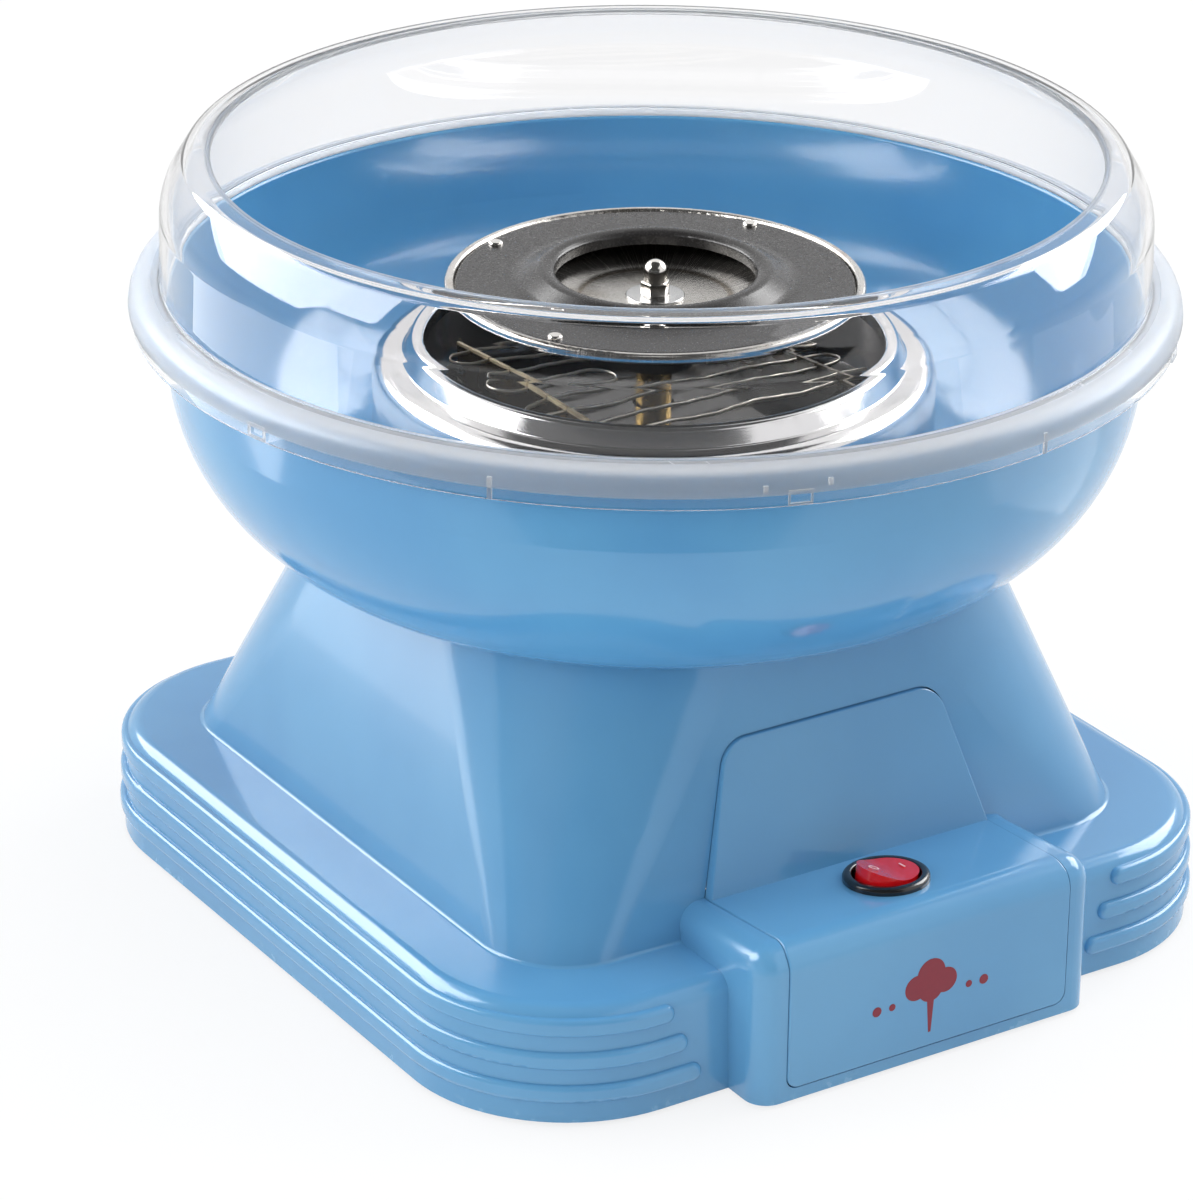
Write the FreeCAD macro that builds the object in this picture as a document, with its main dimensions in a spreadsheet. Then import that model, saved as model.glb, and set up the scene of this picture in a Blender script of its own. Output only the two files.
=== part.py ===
import FreeCAD, Part
import math
import os

import Sketcher
from FreeCAD import Placement, Rotation, Vector

# Table-top cotton candy machine. Millimetres, +Z up, +X to the user's right, the control
# box in front at -Y, and the origin on the table under the middle of the spinning head.

document = FreeCAD.newDocument("cotton_candy_machine")
sheet = document.addObject("Spreadsheet::Sheet", "Dims")


class Size:
    """A number together with the sheet expression that gives it."""

    def __init__(self, number, text):
        self.number = number
        self.text = text

    def combined(self, other, sign, swapped=False):
        first, second = (size_of(other), self) if swapped else (self, size_of(other))
        numbers = {
            "+": first.number + second.number,
            "-": first.number - second.number,
            "*": first.number * second.number,
        }
        return Size(numbers[sign], f"({first.text} {sign} {second.text})")

    def __add__(self, other):
        return self.combined(other, "+")

    def __radd__(self, other):
        return self.combined(other, "+", swapped=True)

    def __sub__(self, other):
        return self.combined(other, "-")

    def __rsub__(self, other):
        return self.combined(other, "-", swapped=True)

    def __mul__(self, other):
        return self.combined(other, "*")

    def __rmul__(self, other):
        return self.combined(other, "*", swapped=True)

    def __neg__(self):
        return Size(-self.number, f"(-1 * {self.text})")

    def __float__(self):
        return float(self.number)


def size_of(value):
    return value if isinstance(value, Size) else Size(float(value), repr(float(value)))


class Dimensions:
    """The driving dimensions, kept as cells of the sheet and read back as sizes."""

    def __init__(self):
        self.rows = 0

    def add(self, alias, number, note):
        self.rows += 1
        sheet.set(f"A{self.rows}", alias)
        sheet.set(f"B{self.rows}", str(number))
        sheet.setAlias(f"B{self.rows}", alias)
        sheet.set(f"C{self.rows}", note)
        setattr(self, alias, Size(float(number), f"Dims.{alias}"))


dims = Dimensions()
for alias, number, note in (
    ("wall", 2.6, "moulded plastic wall"),
    ("gap", 0.3, "gap round a removable moulding"),
    ("foot_proud", 1.2, "how far the rubber feet stand below the skirt"),
    # base skirt
    ("base_half_width", 119.5, "half width of the skirt at its lower edge"),
    ("base_half_depth", 120.0, "half depth of the skirt at its lower edge"),
    ("base_corner", 45.7, "corner radius of the skirt"),
    ("base_top", 33.0, "height of the base's flat top"),
    ("base_draft", 2.0, "draft of the skirt in degrees"),
    ("base_top_round", 5.0, "rounding of the base's top edge"),
    # bands round the skirt
    ("band_low", 9.4, "height of the lowest band's middle"),
    ("band_pitch", 9.3, "height from one band to the next"),
    ("band_width", 5.0, "width of a band"),
    ("band_proud", 1.6, "how far a band stands out"),
    ("band_sunk", 1.0, "how far a band reaches into the skirt's wall"),
    ("band_end_low", 61.7, "half gap between the lowest band's ends"),
    ("band_end_step", 4.0, "how much further apart the next band's ends are"),
    # pedestal
    ("neck_half_width", 97.5, "half width of the pedestal at its foot"),
    ("neck_half_depth", 97.0, "half depth of the pedestal at its foot"),
    ("neck_corner", 24.0, "corner radius at the foot"),
    ("neck_top", 106.0, "height to which the pedestal's walls are drawn"),
    ("neck_top_half_width", 80.7, "half width at that height"),
    ("neck_top_half_depth", 80.2, "half depth at that height"),
    ("neck_top_corner", 59.0, "corner radius at that height"),
    ("neck_foot_round", 1.2, "hollow rounding where the pedestal meets the base"),
    ("deck_top", 99.2, "height of the deck that carries the pan and the bowl"),
    ("deck_thickness", 3.0, "thickness of the deck"),
    # control box
    ("box_half_width", 53.0, "half width of the control box"),
    ("box_front", 133.7, "distance of the box's front face from the axis"),
    ("box_top_front", 45.3, "height of the box's top at the front"),
    ("box_top_back", 42.5, "height of the box's top where the pedestal starts"),
    ("box_back", 97.5, "distance of that line from the axis"),
    ("box_corner", 6.4, "rounding along the box's sides, from the foot up and back"),
    ("box_top_round", 7.0, "rounding along the box's front top edge"),
    # control cover
    ("cover_half_width", 44.3, "half width of the control cover"),
    ("cover_bottom", 4.7, "height of the cover's lower edge"),
    ("cover_corner", 3.5, "corner radius of the cover's front"),
    ("cover_proud", 0.4, "how far the cover stands out of its frame"),
    ("cover_edge", 0.5, "rounding of the cover's outer edge"),
    ("cover_wall", 2.4, "thickness of the cover"),
    ("cover_top", 81.0, "height of the cover's upper edge"),
    ("cover_top_half_width", 33.5, "half width of the cover at its upper edge"),
    ("cover_top_corner", 8.5, "corner radius there"),
    ("cover_top_depth", 86.5, "distance of the upper edge from the axis"),
    # switch
    ("switch_distance", 113.0, "distance of the switch from the axis"),
    ("switch_height", 44.1, "height of the box's top under the switch"),
    ("switch_tilt", 4.4, "slope of the box's top in degrees"),
    ("bezel_radius", 11.5, "radius of the switch's bezel"),
    ("bezel_height", 2.0, "thickness of the bezel"),
    ("switch_cutout", 10.1, "radius of the cut-out in the cover"),
    ("rocker_radius", 8.2, "radius of the rocker"),
    ("rocker_well", 9.1, "radius of the well that the rocker tilts in"),
    ("rocker_tilt", 10.0, "tilt of the rocker to either side in degrees"),
    # bowl
    ("bowl_rim", 131.5, "outer radius of the bowl at its rim"),
    ("bowl_shoulder_radius", 127.9, "where the wall starts to turn in"),
    ("bowl_shoulder_height", 129.5, "height of that corner"),
    ("bowl_shoulder_round", 57.3, "rounding of that corner"),
    ("bowl_belly_radius", 104.4, "where the underside starts"),
    ("bowl_belly_height", 107.6, "height of that corner"),
    ("bowl_belly_round", 45.7, "rounding of that corner"),
    ("bowl_seat_radius", 83.8, "outer radius of the flat ring the bowl sits on"),
    ("bowl_hole", 79.6, "radius of the opening round the pan"),
    ("bowl_collar_top", 108.0, "height of the collar round that opening"),
    ("bowl_wall", 2.4, "wall of the bowl"),
    ("bowl_top", 174.5, "height of the bowl's rim"),
    ("bowl_flange", 136.9, "outer radius of the bowl's rim flange"),
    ("flange_bottom", 168.2, "underside of that flange"),
    ("bowl_flange_round", 4.8, "rounding of that flange"),
    # splash guard
    ("guard_radius", 140.0, "outer radius of the guard's bead"),
    ("guard_wall", 2.0, "wall of the guard"),
    ("guard_lip_bottom", 166.2, "lower edge of the lip under the bead"),
    ("guard_lip_top", 169.7, "height where the bead steps back to the lip"),
    ("guard_lip_step", 0.7, "how far the lip stands back from the bead"),
    ("guard_bead_round", 6.2, "rounding of the bead under the wall"),
    ("guard_seat", 176.5, "height where the wall rises out of the bead"),
    ("guard_base_radius", 131.7, "outer radius of the wall there"),
    ("guard_mid_radius", 131.0, "outer radius where the wall starts to turn in"),
    ("guard_mid_height", 199.0, "height of that corner"),
    ("guard_shoulder_radius", 124.0, "outer radius where the top rim starts"),
    ("guard_top", 210.8, "top of the guard"),
    ("guard_opening", 117.3, "radius of the opening in the top"),
    # pan
    ("pan_opening", 61.5, "radius of the pan's opening"),
    ("pan_roll", 65.9, "outer radius of the rolled edge round that opening"),
    ("pan_top", 157.4, "top of the rolled edge"),
    ("pan_crease", 67.6, "radius of the crease between the rolled edge and the flat"),
    ("pan_flat", 152.4, "height of the flat ring outside the crease"),
    ("pan_radius", 75.7, "outer radius of the pan"),
    ("pan_shoulder_round", 4.5, "rounding of the pan's shoulder"),
    ("pan_flange", 60.0, "inner radius of the flange on the deck"),
    ("pan_sheet", 1.0, "thickness of the pan's sheet"),
    ("pan_screw_circle", 68.0, "radius of the circle of the pan's screws"),
    # heater
    ("heater_plate_radius", 59.5, "radius of the polished plate under the wires"),
    ("heater_plate_top", 138.2, "top of that plate"),
    ("heater_plate_hole", 5.7, "hole in the plate for the drive sleeve"),
    ("strip_offset", 36.5, "distance of the mica strips from the axis"),
    ("strip_half_length", 41.0, "half length of a mica strip"),
    ("strip_top", 149.6, "top of the mica strips"),
    ("ribbon_height", 147.0, "lower edge of the heating ribbon"),
    ("ribbon_width", 1.6, "width of the ribbon"),
    ("ribbon_thickness", 0.35, "thickness of the ribbon"),
    ("ribbon_pitch", 9.8, "distance between two runs"),
    # spinning head
    ("head_radius", 56.2, "outer radius of the head's cup"),
    ("head_rim_top", 173.6, "top of the cup's rolled rim, round the disc"),
    ("head_rim_wall", 2.6, "thickness of that rim"),
    ("head_rim_round", 1.2, "rounding of that rim"),
    ("head_top", 173.1, "height of the disc's flat top"),
    ("disc_radius", 53.2, "radius of the black disc"),
    ("disc_sheet", 1.2, "thickness of the disc"),
    ("lip_outer", 37.6, "where the disc starts to rise"),
    ("lip_crest", 29.6, "radius of the raised lip's crest"),
    ("lip_top", 177.6, "height of the crest"),
    ("feed_hole", 26.9, "radius of the sugar opening"),
    ("cup_floor", 168.5, "height of the cup's floor"),
    ("cup_floor_radius", 21.5, "where the floor starts to rise"),
    ("cup_slope_radius", 37.0, "where it reaches the flange under the disc"),
    ("cup_flange", 171.7, "height of that flange"),
    ("cup_sheet", 0.8, "thickness of the cup"),
    ("hub_radius", 10.6, "radius of the boss under the cup"),
    ("hub_bottom", 149.2, "lower end of that boss"),
    ("hub_round", 4.0, "rounding between the boss and the cup"),
    ("rivet_circle", 50.4, "radius of the rivet circle"),
    ("washer_radius", 7.9, "radius of the washer"),
    ("washer_top", 169.3, "top of the washer"),
    ("nut_top", 173.0, "top of the cap nut's hexagon"),
    ("dome_top", 178.9, "top of the cap nut"),
    ("dome_radius", 3.25, "radius of the cap nut's dome"),
    ("nut_across_flats", 7.0, "M4 cap nut across its flats"),
    # shaft and motor
    ("shaft_radius", 3.0, "motor shaft"),
    ("shaft_shoulder", 165.8, "height where the thread starts"),
    ("thread_radius", 2.0, "threaded end under the nut"),
    ("thread_top", 175.5, "upper end of the thread"),
    ("sleeve_radius", 4.85, "brass drive sleeve"),
    ("sleeve_bottom", 136.0, "lower end of the drive sleeve"),
    ("case_radius", 31.0, "motor case"),
    ("case_bottom", 44.0, "lower end of the motor case"),
    ("case_top", 88.0, "upper end of the motor case"),
    ("case_sheet", 1.6, "sheet of the motor case"),
    ("bearing_radius", 7.0, "outside of the shaft's bearing bushes"),
    ("running_fit", 0.05, "radial play of the shaft in its bushes"),
    ("armature_radius", 17.5, "armature core"),
    ("fan_radius", 26.0, "cooling fan"),
    ("deck_opening", 12.0, "opening in the deck for the motor's neck"),
    ("bracket_drop", 3.0, "how far the bracket hangs under the deck"),
    ("bracket_seat_radius", 4.2, "screw seats under the deck"),
    ("bracket_circle", 39.0, "radius of the circle those seats stand on"),
    ("spacer_circle", 49.0, "radius of the circle the heater's spacers stand on"),
    ("cover_slack", 0.25, "gap round the control cover"),
    ("cord_boss_radius", 8.5, "round boss that the cord's hole runs through"),
    ("cord_boss_face", 121.6, "distance of that boss's face from the axis"),
    ("cord_hole", 4.6, "hole for the cord's bush in the back of the skirt"),
    ("cord_across", 60.0, "distance of that hole from the middle"),
    ("cord_height", 16.0, "height of that hole"),
    # underside
    ("plate_bottom", 2.4, "underside of the bottom cover"),
    ("plate_thickness", 2.2, "thickness of the bottom cover"),
    ("foot_radius", 9.0, "rubber foot"),
    ("foot_offset", 84.0, "distance of the feet from the middle planes"),
    ("post_offset_wide", 106.0, "base screws: distance from the middle, across"),
    ("post_offset_deep", 45.0, "base screws: distance from the middle, along"),
    ("post_radius", 4.5, "screw post"),
    ("post_bore", 1.5, "hole in a screw post"),
):
    dims.add(alias, number, note)
document.recompute()


def rounded_corner(before, corner, after, radius):
    """The arc that rounds a corner: its ends, centre and sense."""
    towards_before = (before - corner).normalize()
    towards_after = (after - corner).normalize()
    half_angle = towards_before.getAngle(towards_after) / 2
    reach = radius / math.tan(half_angle)
    bisector = (towards_before + towards_after).normalize()
    centre = corner + bisector * (radius / math.sin(half_angle))
    start = corner + towards_before * reach
    end = corner + towards_after * reach
    anticlockwise = towards_before.cross(towards_after).z < 0
    return start, end, centre, anticlockwise


def fix_point(sketch, geometry, end, across, up):
    """Holds a point at sizes across and up from the sketch's origin."""
    for kind, size, axis in (("DistanceX", across, -2), ("DistanceY", up, -1)):
        if size.number == 0:
            sketch.addConstraint(Sketcher.Constraint("PointOnObject", geometry, end, axis))
            continue
        index = sketch.addConstraint(Sketcher.Constraint(kind, geometry, end, size.number))
        sketch.setExpression(f"Constraints[{index}]", size.text)


def draw_outline(sketch, corners):
    """A closed outline through corners (across, up) or (across, up, rounding)."""
    corners = [tuple(size_of(value) for value in corner) for corner in corners]
    points = [Vector(corner[0].number, corner[1].number, 0) for corner in corners]
    count = len(points)
    rounds = []
    for index, corner in enumerate(corners):
        rounded = len(corner) == 3
        rounds.append(
            rounded_corner(points[index - 1], points[index], points[(index + 1) % count], corner[2].number)
            if rounded
            else None
        )
    lines = []
    for index in range(count):
        following = (index + 1) % count
        start = rounds[index][1] if rounds[index] else points[index]
        end = rounds[following][0] if rounds[following] else points[following]
        lines.append(sketch.addGeometry(Part.LineSegment(start, end), False))
    for index, corner in enumerate(corners):
        line_in, line_out = lines[index - 1], lines[index]
        if not rounds[index]:
            sketch.addConstraint(Sketcher.Constraint("Coincident", line_in, 2, line_out, 1))
            fix_point(sketch, line_out, 1, corner[0], corner[1])
            continue
        start, end, centre, anticlockwise = rounds[index]
        first, last = (start, end) if anticlockwise else (end, start)
        angles = [math.atan2(point.y - centre.y, point.x - centre.x) for point in (first, last)]
        if angles[1] < angles[0]:
            angles[1] += 2 * math.pi
        circle = Part.Circle(centre, Vector(0, 0, 1), corner[2].number)
        arc = sketch.addGeometry(Part.ArcOfCircle(circle, angles[0], angles[1]), False)
        entry, exit_end = (1, 2) if anticlockwise else (2, 1)
        sketch.addConstraint(Sketcher.Constraint("Tangent", line_in, 2, arc, entry))
        sketch.addConstraint(Sketcher.Constraint("Tangent", arc, exit_end, line_out, 1))
        index_radius = sketch.addConstraint(Sketcher.Constraint("Radius", arc, corner[2].number))
        sketch.setExpression(f"Constraints[{index_radius}]", corner[2].text)
        mark = sketch.addGeometry(Part.Point(points[index]), True)
        sketch.addConstraint(Sketcher.Constraint("PointOnObject", mark, 1, line_in))
        sketch.addConstraint(Sketcher.Constraint("PointOnObject", mark, 1, line_out))
        fix_point(sketch, mark, 1, corner[0], corner[1])


def new_body(label):
    body = document.addObject("PartDesign::Body", label)
    body.Label = label
    return body


def new_sketch(body, role, offset=0):
    """A sketch on one of the body's origin planes, moved off it by a size."""
    plane = [item for item in body.Origin.OriginFeatures if item.Role == role][0]
    sketch = body.newObject("Sketcher::SketchObject", f"{body.Label}_sketch")
    sketch.AttachmentSupport = [(plane, "")]
    sketch.MapMode = "FlatFace"
    offset = size_of(offset)
    if offset.number:
        sketch.AttachmentOffset = Placement(Vector(0, 0, offset.number), Rotation())
        sketch.setExpression("AttachmentOffset.Base.z", offset.text)
    return sketch


def circles(sketch, radius, places):
    """Circles of one radius at places (across, up)."""
    radius = size_of(radius)
    for across, up in places:
        across, up = size_of(across), size_of(up)
        centre = Vector(across.number, up.number, 0)
        ring = sketch.addGeometry(Part.Circle(centre, Vector(0, 0, 1), radius.number), False)
        index = sketch.addConstraint(Sketcher.Constraint("Radius", ring, radius.number))
        sketch.setExpression(f"Constraints[{index}]", radius.text)
        fix_point(sketch, ring, 3, across, up)


def turned(label, corners):
    """A body turned from a (radius, height) outline about the upright axis."""
    body = new_body(label)
    sketch = new_sketch(body, "XZ_Plane")
    draw_outline(sketch, corners)
    feature = body.newObject("PartDesign::Revolution", f"{label}_turned")
    feature.Profile = sketch
    feature.ReferenceAxis = (sketch, ["V_Axis"])
    feature.Angle = 360
    document.recompute()
    return body


def extrude(body, sketch, length, kind="PartDesign::Pad", reverse=False, middle=False, taper=None):
    feature = body.newObject(kind, f"{body.Label}_{kind.split('::')[1].lower()}")
    feature.Profile = sketch
    length = size_of(length)
    feature.Length = length.number
    feature.setExpression("Length", length.text)
    feature.Reversed = reverse
    if middle:
        feature.SideType = "Symmetric"
    if taper is not None:
        feature.setExpression("TaperAngle", taper.text)
    document.recompute()
    return feature


def rounded_rectangle(half_width, half_depth, corner):
    half_width, half_depth = size_of(half_width), size_of(half_depth)
    return [
        (-half_width, -half_depth, corner),
        (half_width, -half_depth, corner),
        (half_width, half_depth, corner),
        (-half_width, half_depth, corner),
    ]


def prism(body, corners, bottom, height, kind="PartDesign::Pad", taper=None):
    """An upright prism on the outline (x, y), from bottom up by height."""
    sketch = new_sketch(body, "XY_Plane", bottom)
    draw_outline(sketch, corners)
    return extrude(body, sketch, height, kind, reverse=kind == "PartDesign::Pocket", taper=taper)


def drill(body, radius, places, bottom, height):
    """Upright holes from bottom up by height."""
    sketch = new_sketch(body, "XY_Plane", bottom)
    circles(sketch, radius, places)
    return extrude(body, sketch, height, "PartDesign::Pocket", reverse=True)


def studs(body, radius, places, bottom, height):
    """Upright round posts from bottom up by height."""
    sketch = new_sketch(body, "XY_Plane", bottom)
    circles(sketch, radius, places)
    return extrude(body, sketch, height)


def fillet(body, radius, chosen):
    """Rounds the edges of the body's tip for which chosen(edge) is true."""
    base = body.Tip
    names = [f"Edge{n + 1}" for n, edge in enumerate(base.Shape.Edges) if chosen(edge)]
    feature = body.newObject("PartDesign::Fillet", f"{body.Label}_fillet")
    feature.Base = (base, names)
    radius = size_of(radius)
    feature.Radius = radius.number
    feature.setExpression("Radius", radius.text)
    document.recompute()
    return feature


def ring_places(radius, count, first_angle):
    """Places (x, y) evenly round a circle, as sizes."""
    places = []
    for step in range(count):
        angle = math.radians(first_angle + 360 * step / count)
        places.append((radius * round(math.cos(angle), 6), radius * round(math.sin(angle), 6)))
    return places


def mirrored_places(across, along):
    return [(sx * across, sy * along) for sx in (-1, 1) for sy in (-1, 1)]


def grouped(label, shapes):
    """Identical small pieces that share one node, as separate solids."""
    group = document.addObject("Part::Feature", label)
    group.Shape = Part.makeCompound(shapes)
    return group


def copies(label, source, places):
    """Copies of a body's solid at places (x, y), in one node."""
    shapes = []
    for across, up in places:
        shape = source.Shape.copy()
        shape.translate(Vector(float(across), float(up), 0))
        shapes.append(shape)
    return grouped(label, shapes)


post_places = mirrored_places(dims.post_offset_wide, dims.post_offset_deep)
foot_places = mirrored_places(dims.foot_offset, dims.foot_offset)
bracket_places = ring_places(dims.bracket_circle, 4, 45)
heater_places = ring_places(dims.spacer_circle, 4, 45)
pan_screw_places = ring_places(dims.pan_screw_circle, 4, 0)
skirt_height = dims.base_top - dims.foot_proud
deck_bottom = dims.deck_top - dims.deck_thickness
plate_top = dims.plate_bottom + dims.plate_thickness


def box_profile(shrink, front_reach=0):
    """Side view (y, z) of the control box, each face moved in by shrink."""
    shrink = size_of(shrink)
    return [
        (-dims.box_front + shrink, dims.foot_proud - front_reach),
        (-60.0, dims.foot_proud - front_reach),
        (-60.0, dims.box_top_back - shrink),
        (-dims.box_back, dims.box_top_back - shrink),
        (-dims.box_front + shrink, dims.box_top_front - shrink, dims.box_top_round - shrink),
    ]


# the corner between the cover's top and its leaf moves out by this share of what its faces do
hollow_corner_share = 0.5


def cover_profile(outer, thickness, slack):
    """Side view (y, z) of the control cover: front, top and the leaf up the pedestal."""
    low = dims.cover_bottom - slack
    face = dims.box_front + outer
    top_front = dims.box_top_front + outer
    top_back = dims.box_top_back + outer
    leaf_back = dims.box_back + outer * hollow_corner_share
    leaf_top = dims.cover_top_depth + outer
    high = dims.cover_top + slack
    inside = dims.box_top_round - thickness + outer
    return [
        (-face, low),
        (-face + thickness, low),
        (-face + thickness, top_front - thickness, inside),
        (-leaf_back + thickness, top_back - thickness),
        (-leaf_top + thickness, high),
        (-leaf_top, high),
        (-leaf_back, top_back),
        (-face, top_front, dims.box_top_round + outer),
    ]


def cover_outline(slack):
    """Front view (x, z) of the control cover."""
    slack = size_of(slack)
    low = dims.cover_bottom - slack
    high = dims.cover_top + slack
    wide = dims.cover_half_width + slack
    narrow = dims.cover_top_half_width + slack
    return [
        (-wide, low, dims.cover_corner),
        (wide, low, dims.cover_corner),
        (wide, dims.box_top_back),
        (narrow, high, dims.cover_top_corner),
        (-narrow, high, dims.cover_top_corner),
        (-wide, dims.box_top_back),
    ]


def cover_solid(label, outer, thickness, slack):
    """The bent plate of the cover: its side view, kept inside its front view."""
    body = new_body(f"{label}_side")
    side = new_sketch(body, "YZ_Plane")
    draw_outline(side, cover_profile(size_of(outer), size_of(thickness), size_of(slack)))
    extrude(body, side, 2 * (dims.cover_half_width + 5), middle=True)
    frame = new_body(f"{label}_outline")
    front = new_sketch(frame, "XZ_Plane")
    draw_outline(front, cover_outline(slack))
    extrude(frame, front, 200)
    plate = document.addObject("Part::Common", label)
    plate.Base = body
    plate.Tool = frame
    document.recompute()
    return plate


def is_flat(edge):
    return edge.BoundBox.ZLength < 0.01


def rounded_rim(label, plate, slack):
    """The cover's plate with the edge of its outer skin rounded."""
    skin = cover_solid(f"{label}_skin", dims.cover_proud, 0.2, slack)
    low, high = dims.cover_bottom.number, dims.cover_top.number
    rim = []
    for index, edge in enumerate(plate.Shape.Edges):
        box = edge.BoundBox
        middle = edge.valueAt((edge.FirstParameter + edge.LastParameter) / 2)
        bend = is_flat(edge) and box.YLength < 0.01 and low + 1 < box.ZMin < high - 1
        if not bend and skin.Shape.isInside(middle, 0.001, True):
            rim.append((index + 1, dims.cover_edge.number, dims.cover_edge.number))
    rounded = document.addObject("Part::Fillet", label)
    rounded.Base = plate
    rounded.Edges = rim
    document.recompute()
    return rounded


def skirt_half(height):
    """Half width and half depth of the drafted skirt at a height."""
    slope = round(math.tan(math.radians(dims.base_draft.number)), 5)
    inset = (size_of(height) - dims.foot_proud) * slope
    return dims.base_half_width - inset, dims.base_half_depth - inset


def band_shape(level):
    """One raised band round the skirt, open at the front."""
    middle = dims.band_low.number + level * dims.band_pitch.number
    half_width, half_depth = (float(value) for value in skirt_half(middle))
    width = dims.band_width.number
    proud = dims.band_proud.number
    corner = dims.base_corner.number
    sunk = dims.band_sunk.number
    edge_round = 0.95 * proud
    low = middle - width / 2
    outer = rounded_block(half_width + proud, half_depth + proud, corner + proud, low, width)
    outer = outer.makeFillet(edge_round, [edge for edge in outer.Edges if is_flat(edge)])
    inner = rounded_block(half_width - sunk, half_depth - sunk, corner - sunk, low, width)
    band = outer.cut(inner)
    half_gap = dims.band_end_low.number + level * dims.band_end_step.number + width / 2
    gap_corner = Vector(-half_gap, -half_depth - proud, low)
    band = band.cut(Part.makeBox(2 * half_gap, corner, width, gap_corner))
    for side in (-1, 1):
        root = Vector(side * half_gap, -half_depth + sunk, middle)
        end = Part.makeCylinder(width / 2, sunk + proud, root, Vector(0, -1, 0))
        rim = [edge for edge in end.Edges if edge.BoundBox.YMax < -half_depth]
        band = band.fuse(end.makeFillet(edge_round, rim))
    return band


def rounded_block(half_width, half_depth, corner, bottom, height):
    """A plain upright block with rounded corners, as a shape."""
    block = Part.makeBox(
        2 * half_width, 2 * half_depth, height, Vector(-half_width, -half_depth, bottom)
    )
    upright = [edge for edge in block.Edges if edge.BoundBox.ZLength > height - 0.01]
    return block.makeFillet(corner, upright)


def bowl_underside(shift_out, shift_down):
    """Outer outline of the bowl from its seat to its rim, moved out and down."""
    return [
        (dims.bowl_seat_radius + shift_out, dims.deck_top),
        (dims.bowl_belly_radius + shift_out, dims.bowl_belly_height - shift_down, dims.bowl_belly_round),
        (
            dims.bowl_shoulder_radius + shift_out,
            dims.bowl_shoulder_height - shift_down,
            dims.bowl_shoulder_round,
        ),
        (dims.bowl_rim + shift_out, dims.flange_bottom),
    ]


def fused(label, objects):
    fusion = document.addObject("Part::MultiFuse", label)
    fusion.Shapes = objects
    document.recompute()
    return fusion


def cut(label, base, tool):
    result = document.addObject("Part::Cut", label)
    result.Base = base
    result.Tool = tool
    document.recompute()
    return result


def neck_loft(body, inset, kind, bottom, top):
    """The pedestal's slanting walls between two heights, moved in by inset."""
    sections = []
    full_height = dims.neck_top.number - dims.base_top.number
    for height in (size_of(bottom), size_of(top)):
        part_way = round((height.number - dims.base_top.number) / full_height, 5)
        width = dims.neck_half_width + (dims.neck_top_half_width - dims.neck_half_width) * part_way
        depth = dims.neck_half_depth + (dims.neck_top_half_depth - dims.neck_half_depth) * part_way
        corner = dims.neck_corner + (dims.neck_top_corner - dims.neck_corner) * part_way
        sketch = new_sketch(body, "XY_Plane", height)
        draw_outline(sketch, rounded_rectangle(width - inset, depth - inset, corner - inset))
        sections.append(sketch)
    loft = body.newObject(kind, f"{body.Label}_walls")
    loft.Profile = sections[0]
    loft.Sections = sections[1:]
    loft.Ruled = True
    document.recompute()
    return loft


def is_neck_foot(edge):
    box = edge.BoundBox
    flat = box.ZLength < 0.01 and abs(box.ZMin - dims.base_top.number) < 0.01
    reach = max(abs(box.XMin), abs(box.XMax), abs(box.YMin), abs(box.YMax))
    return flat and reach < dims.neck_half_width.number + 1


def is_box_side_edge(edge):
    """The edges of the box's side faces that run up the front and back along the top."""
    box = edge.BoundBox
    on_front = box.YMax < 0.01 - dims.box_front.number
    on_top = box.ZMax > dims.box_top_front.number - dims.box_top_round.number
    return box.XLength < 0.01 and (on_front or on_top) and box.ZMax > dims.box_top_back.number - 10


def build_box(label, shrink, reach, rounding):
    """The control box, or its hollow when shrunk."""
    body = new_body(label)
    side = new_sketch(body, "YZ_Plane")
    draw_outline(side, box_profile(shrink, reach))
    extrude(body, side, 2 * (dims.box_half_width - shrink), middle=True)
    fillet(body, rounding, is_box_side_edge)
    return body


def across_back(label, radius, face, length):
    """A round bar along Y at the cord's place, from its outer face inwards."""
    body = new_body(label)
    sketch = new_sketch(body, "XZ_Plane", -face)
    circles(sketch, radius, [(dims.cord_across, dims.cord_height)])
    extrude(body, sketch, length)
    return body


def build_bands():
    """Three raised bands round the skirt, open at the front."""
    levels = range(3)
    bands = document.addObject("Part::Feature", "skirt_bands")
    bands.Shape = Part.makeCompound([band_shape(level) for level in levels])
    return bands


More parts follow.
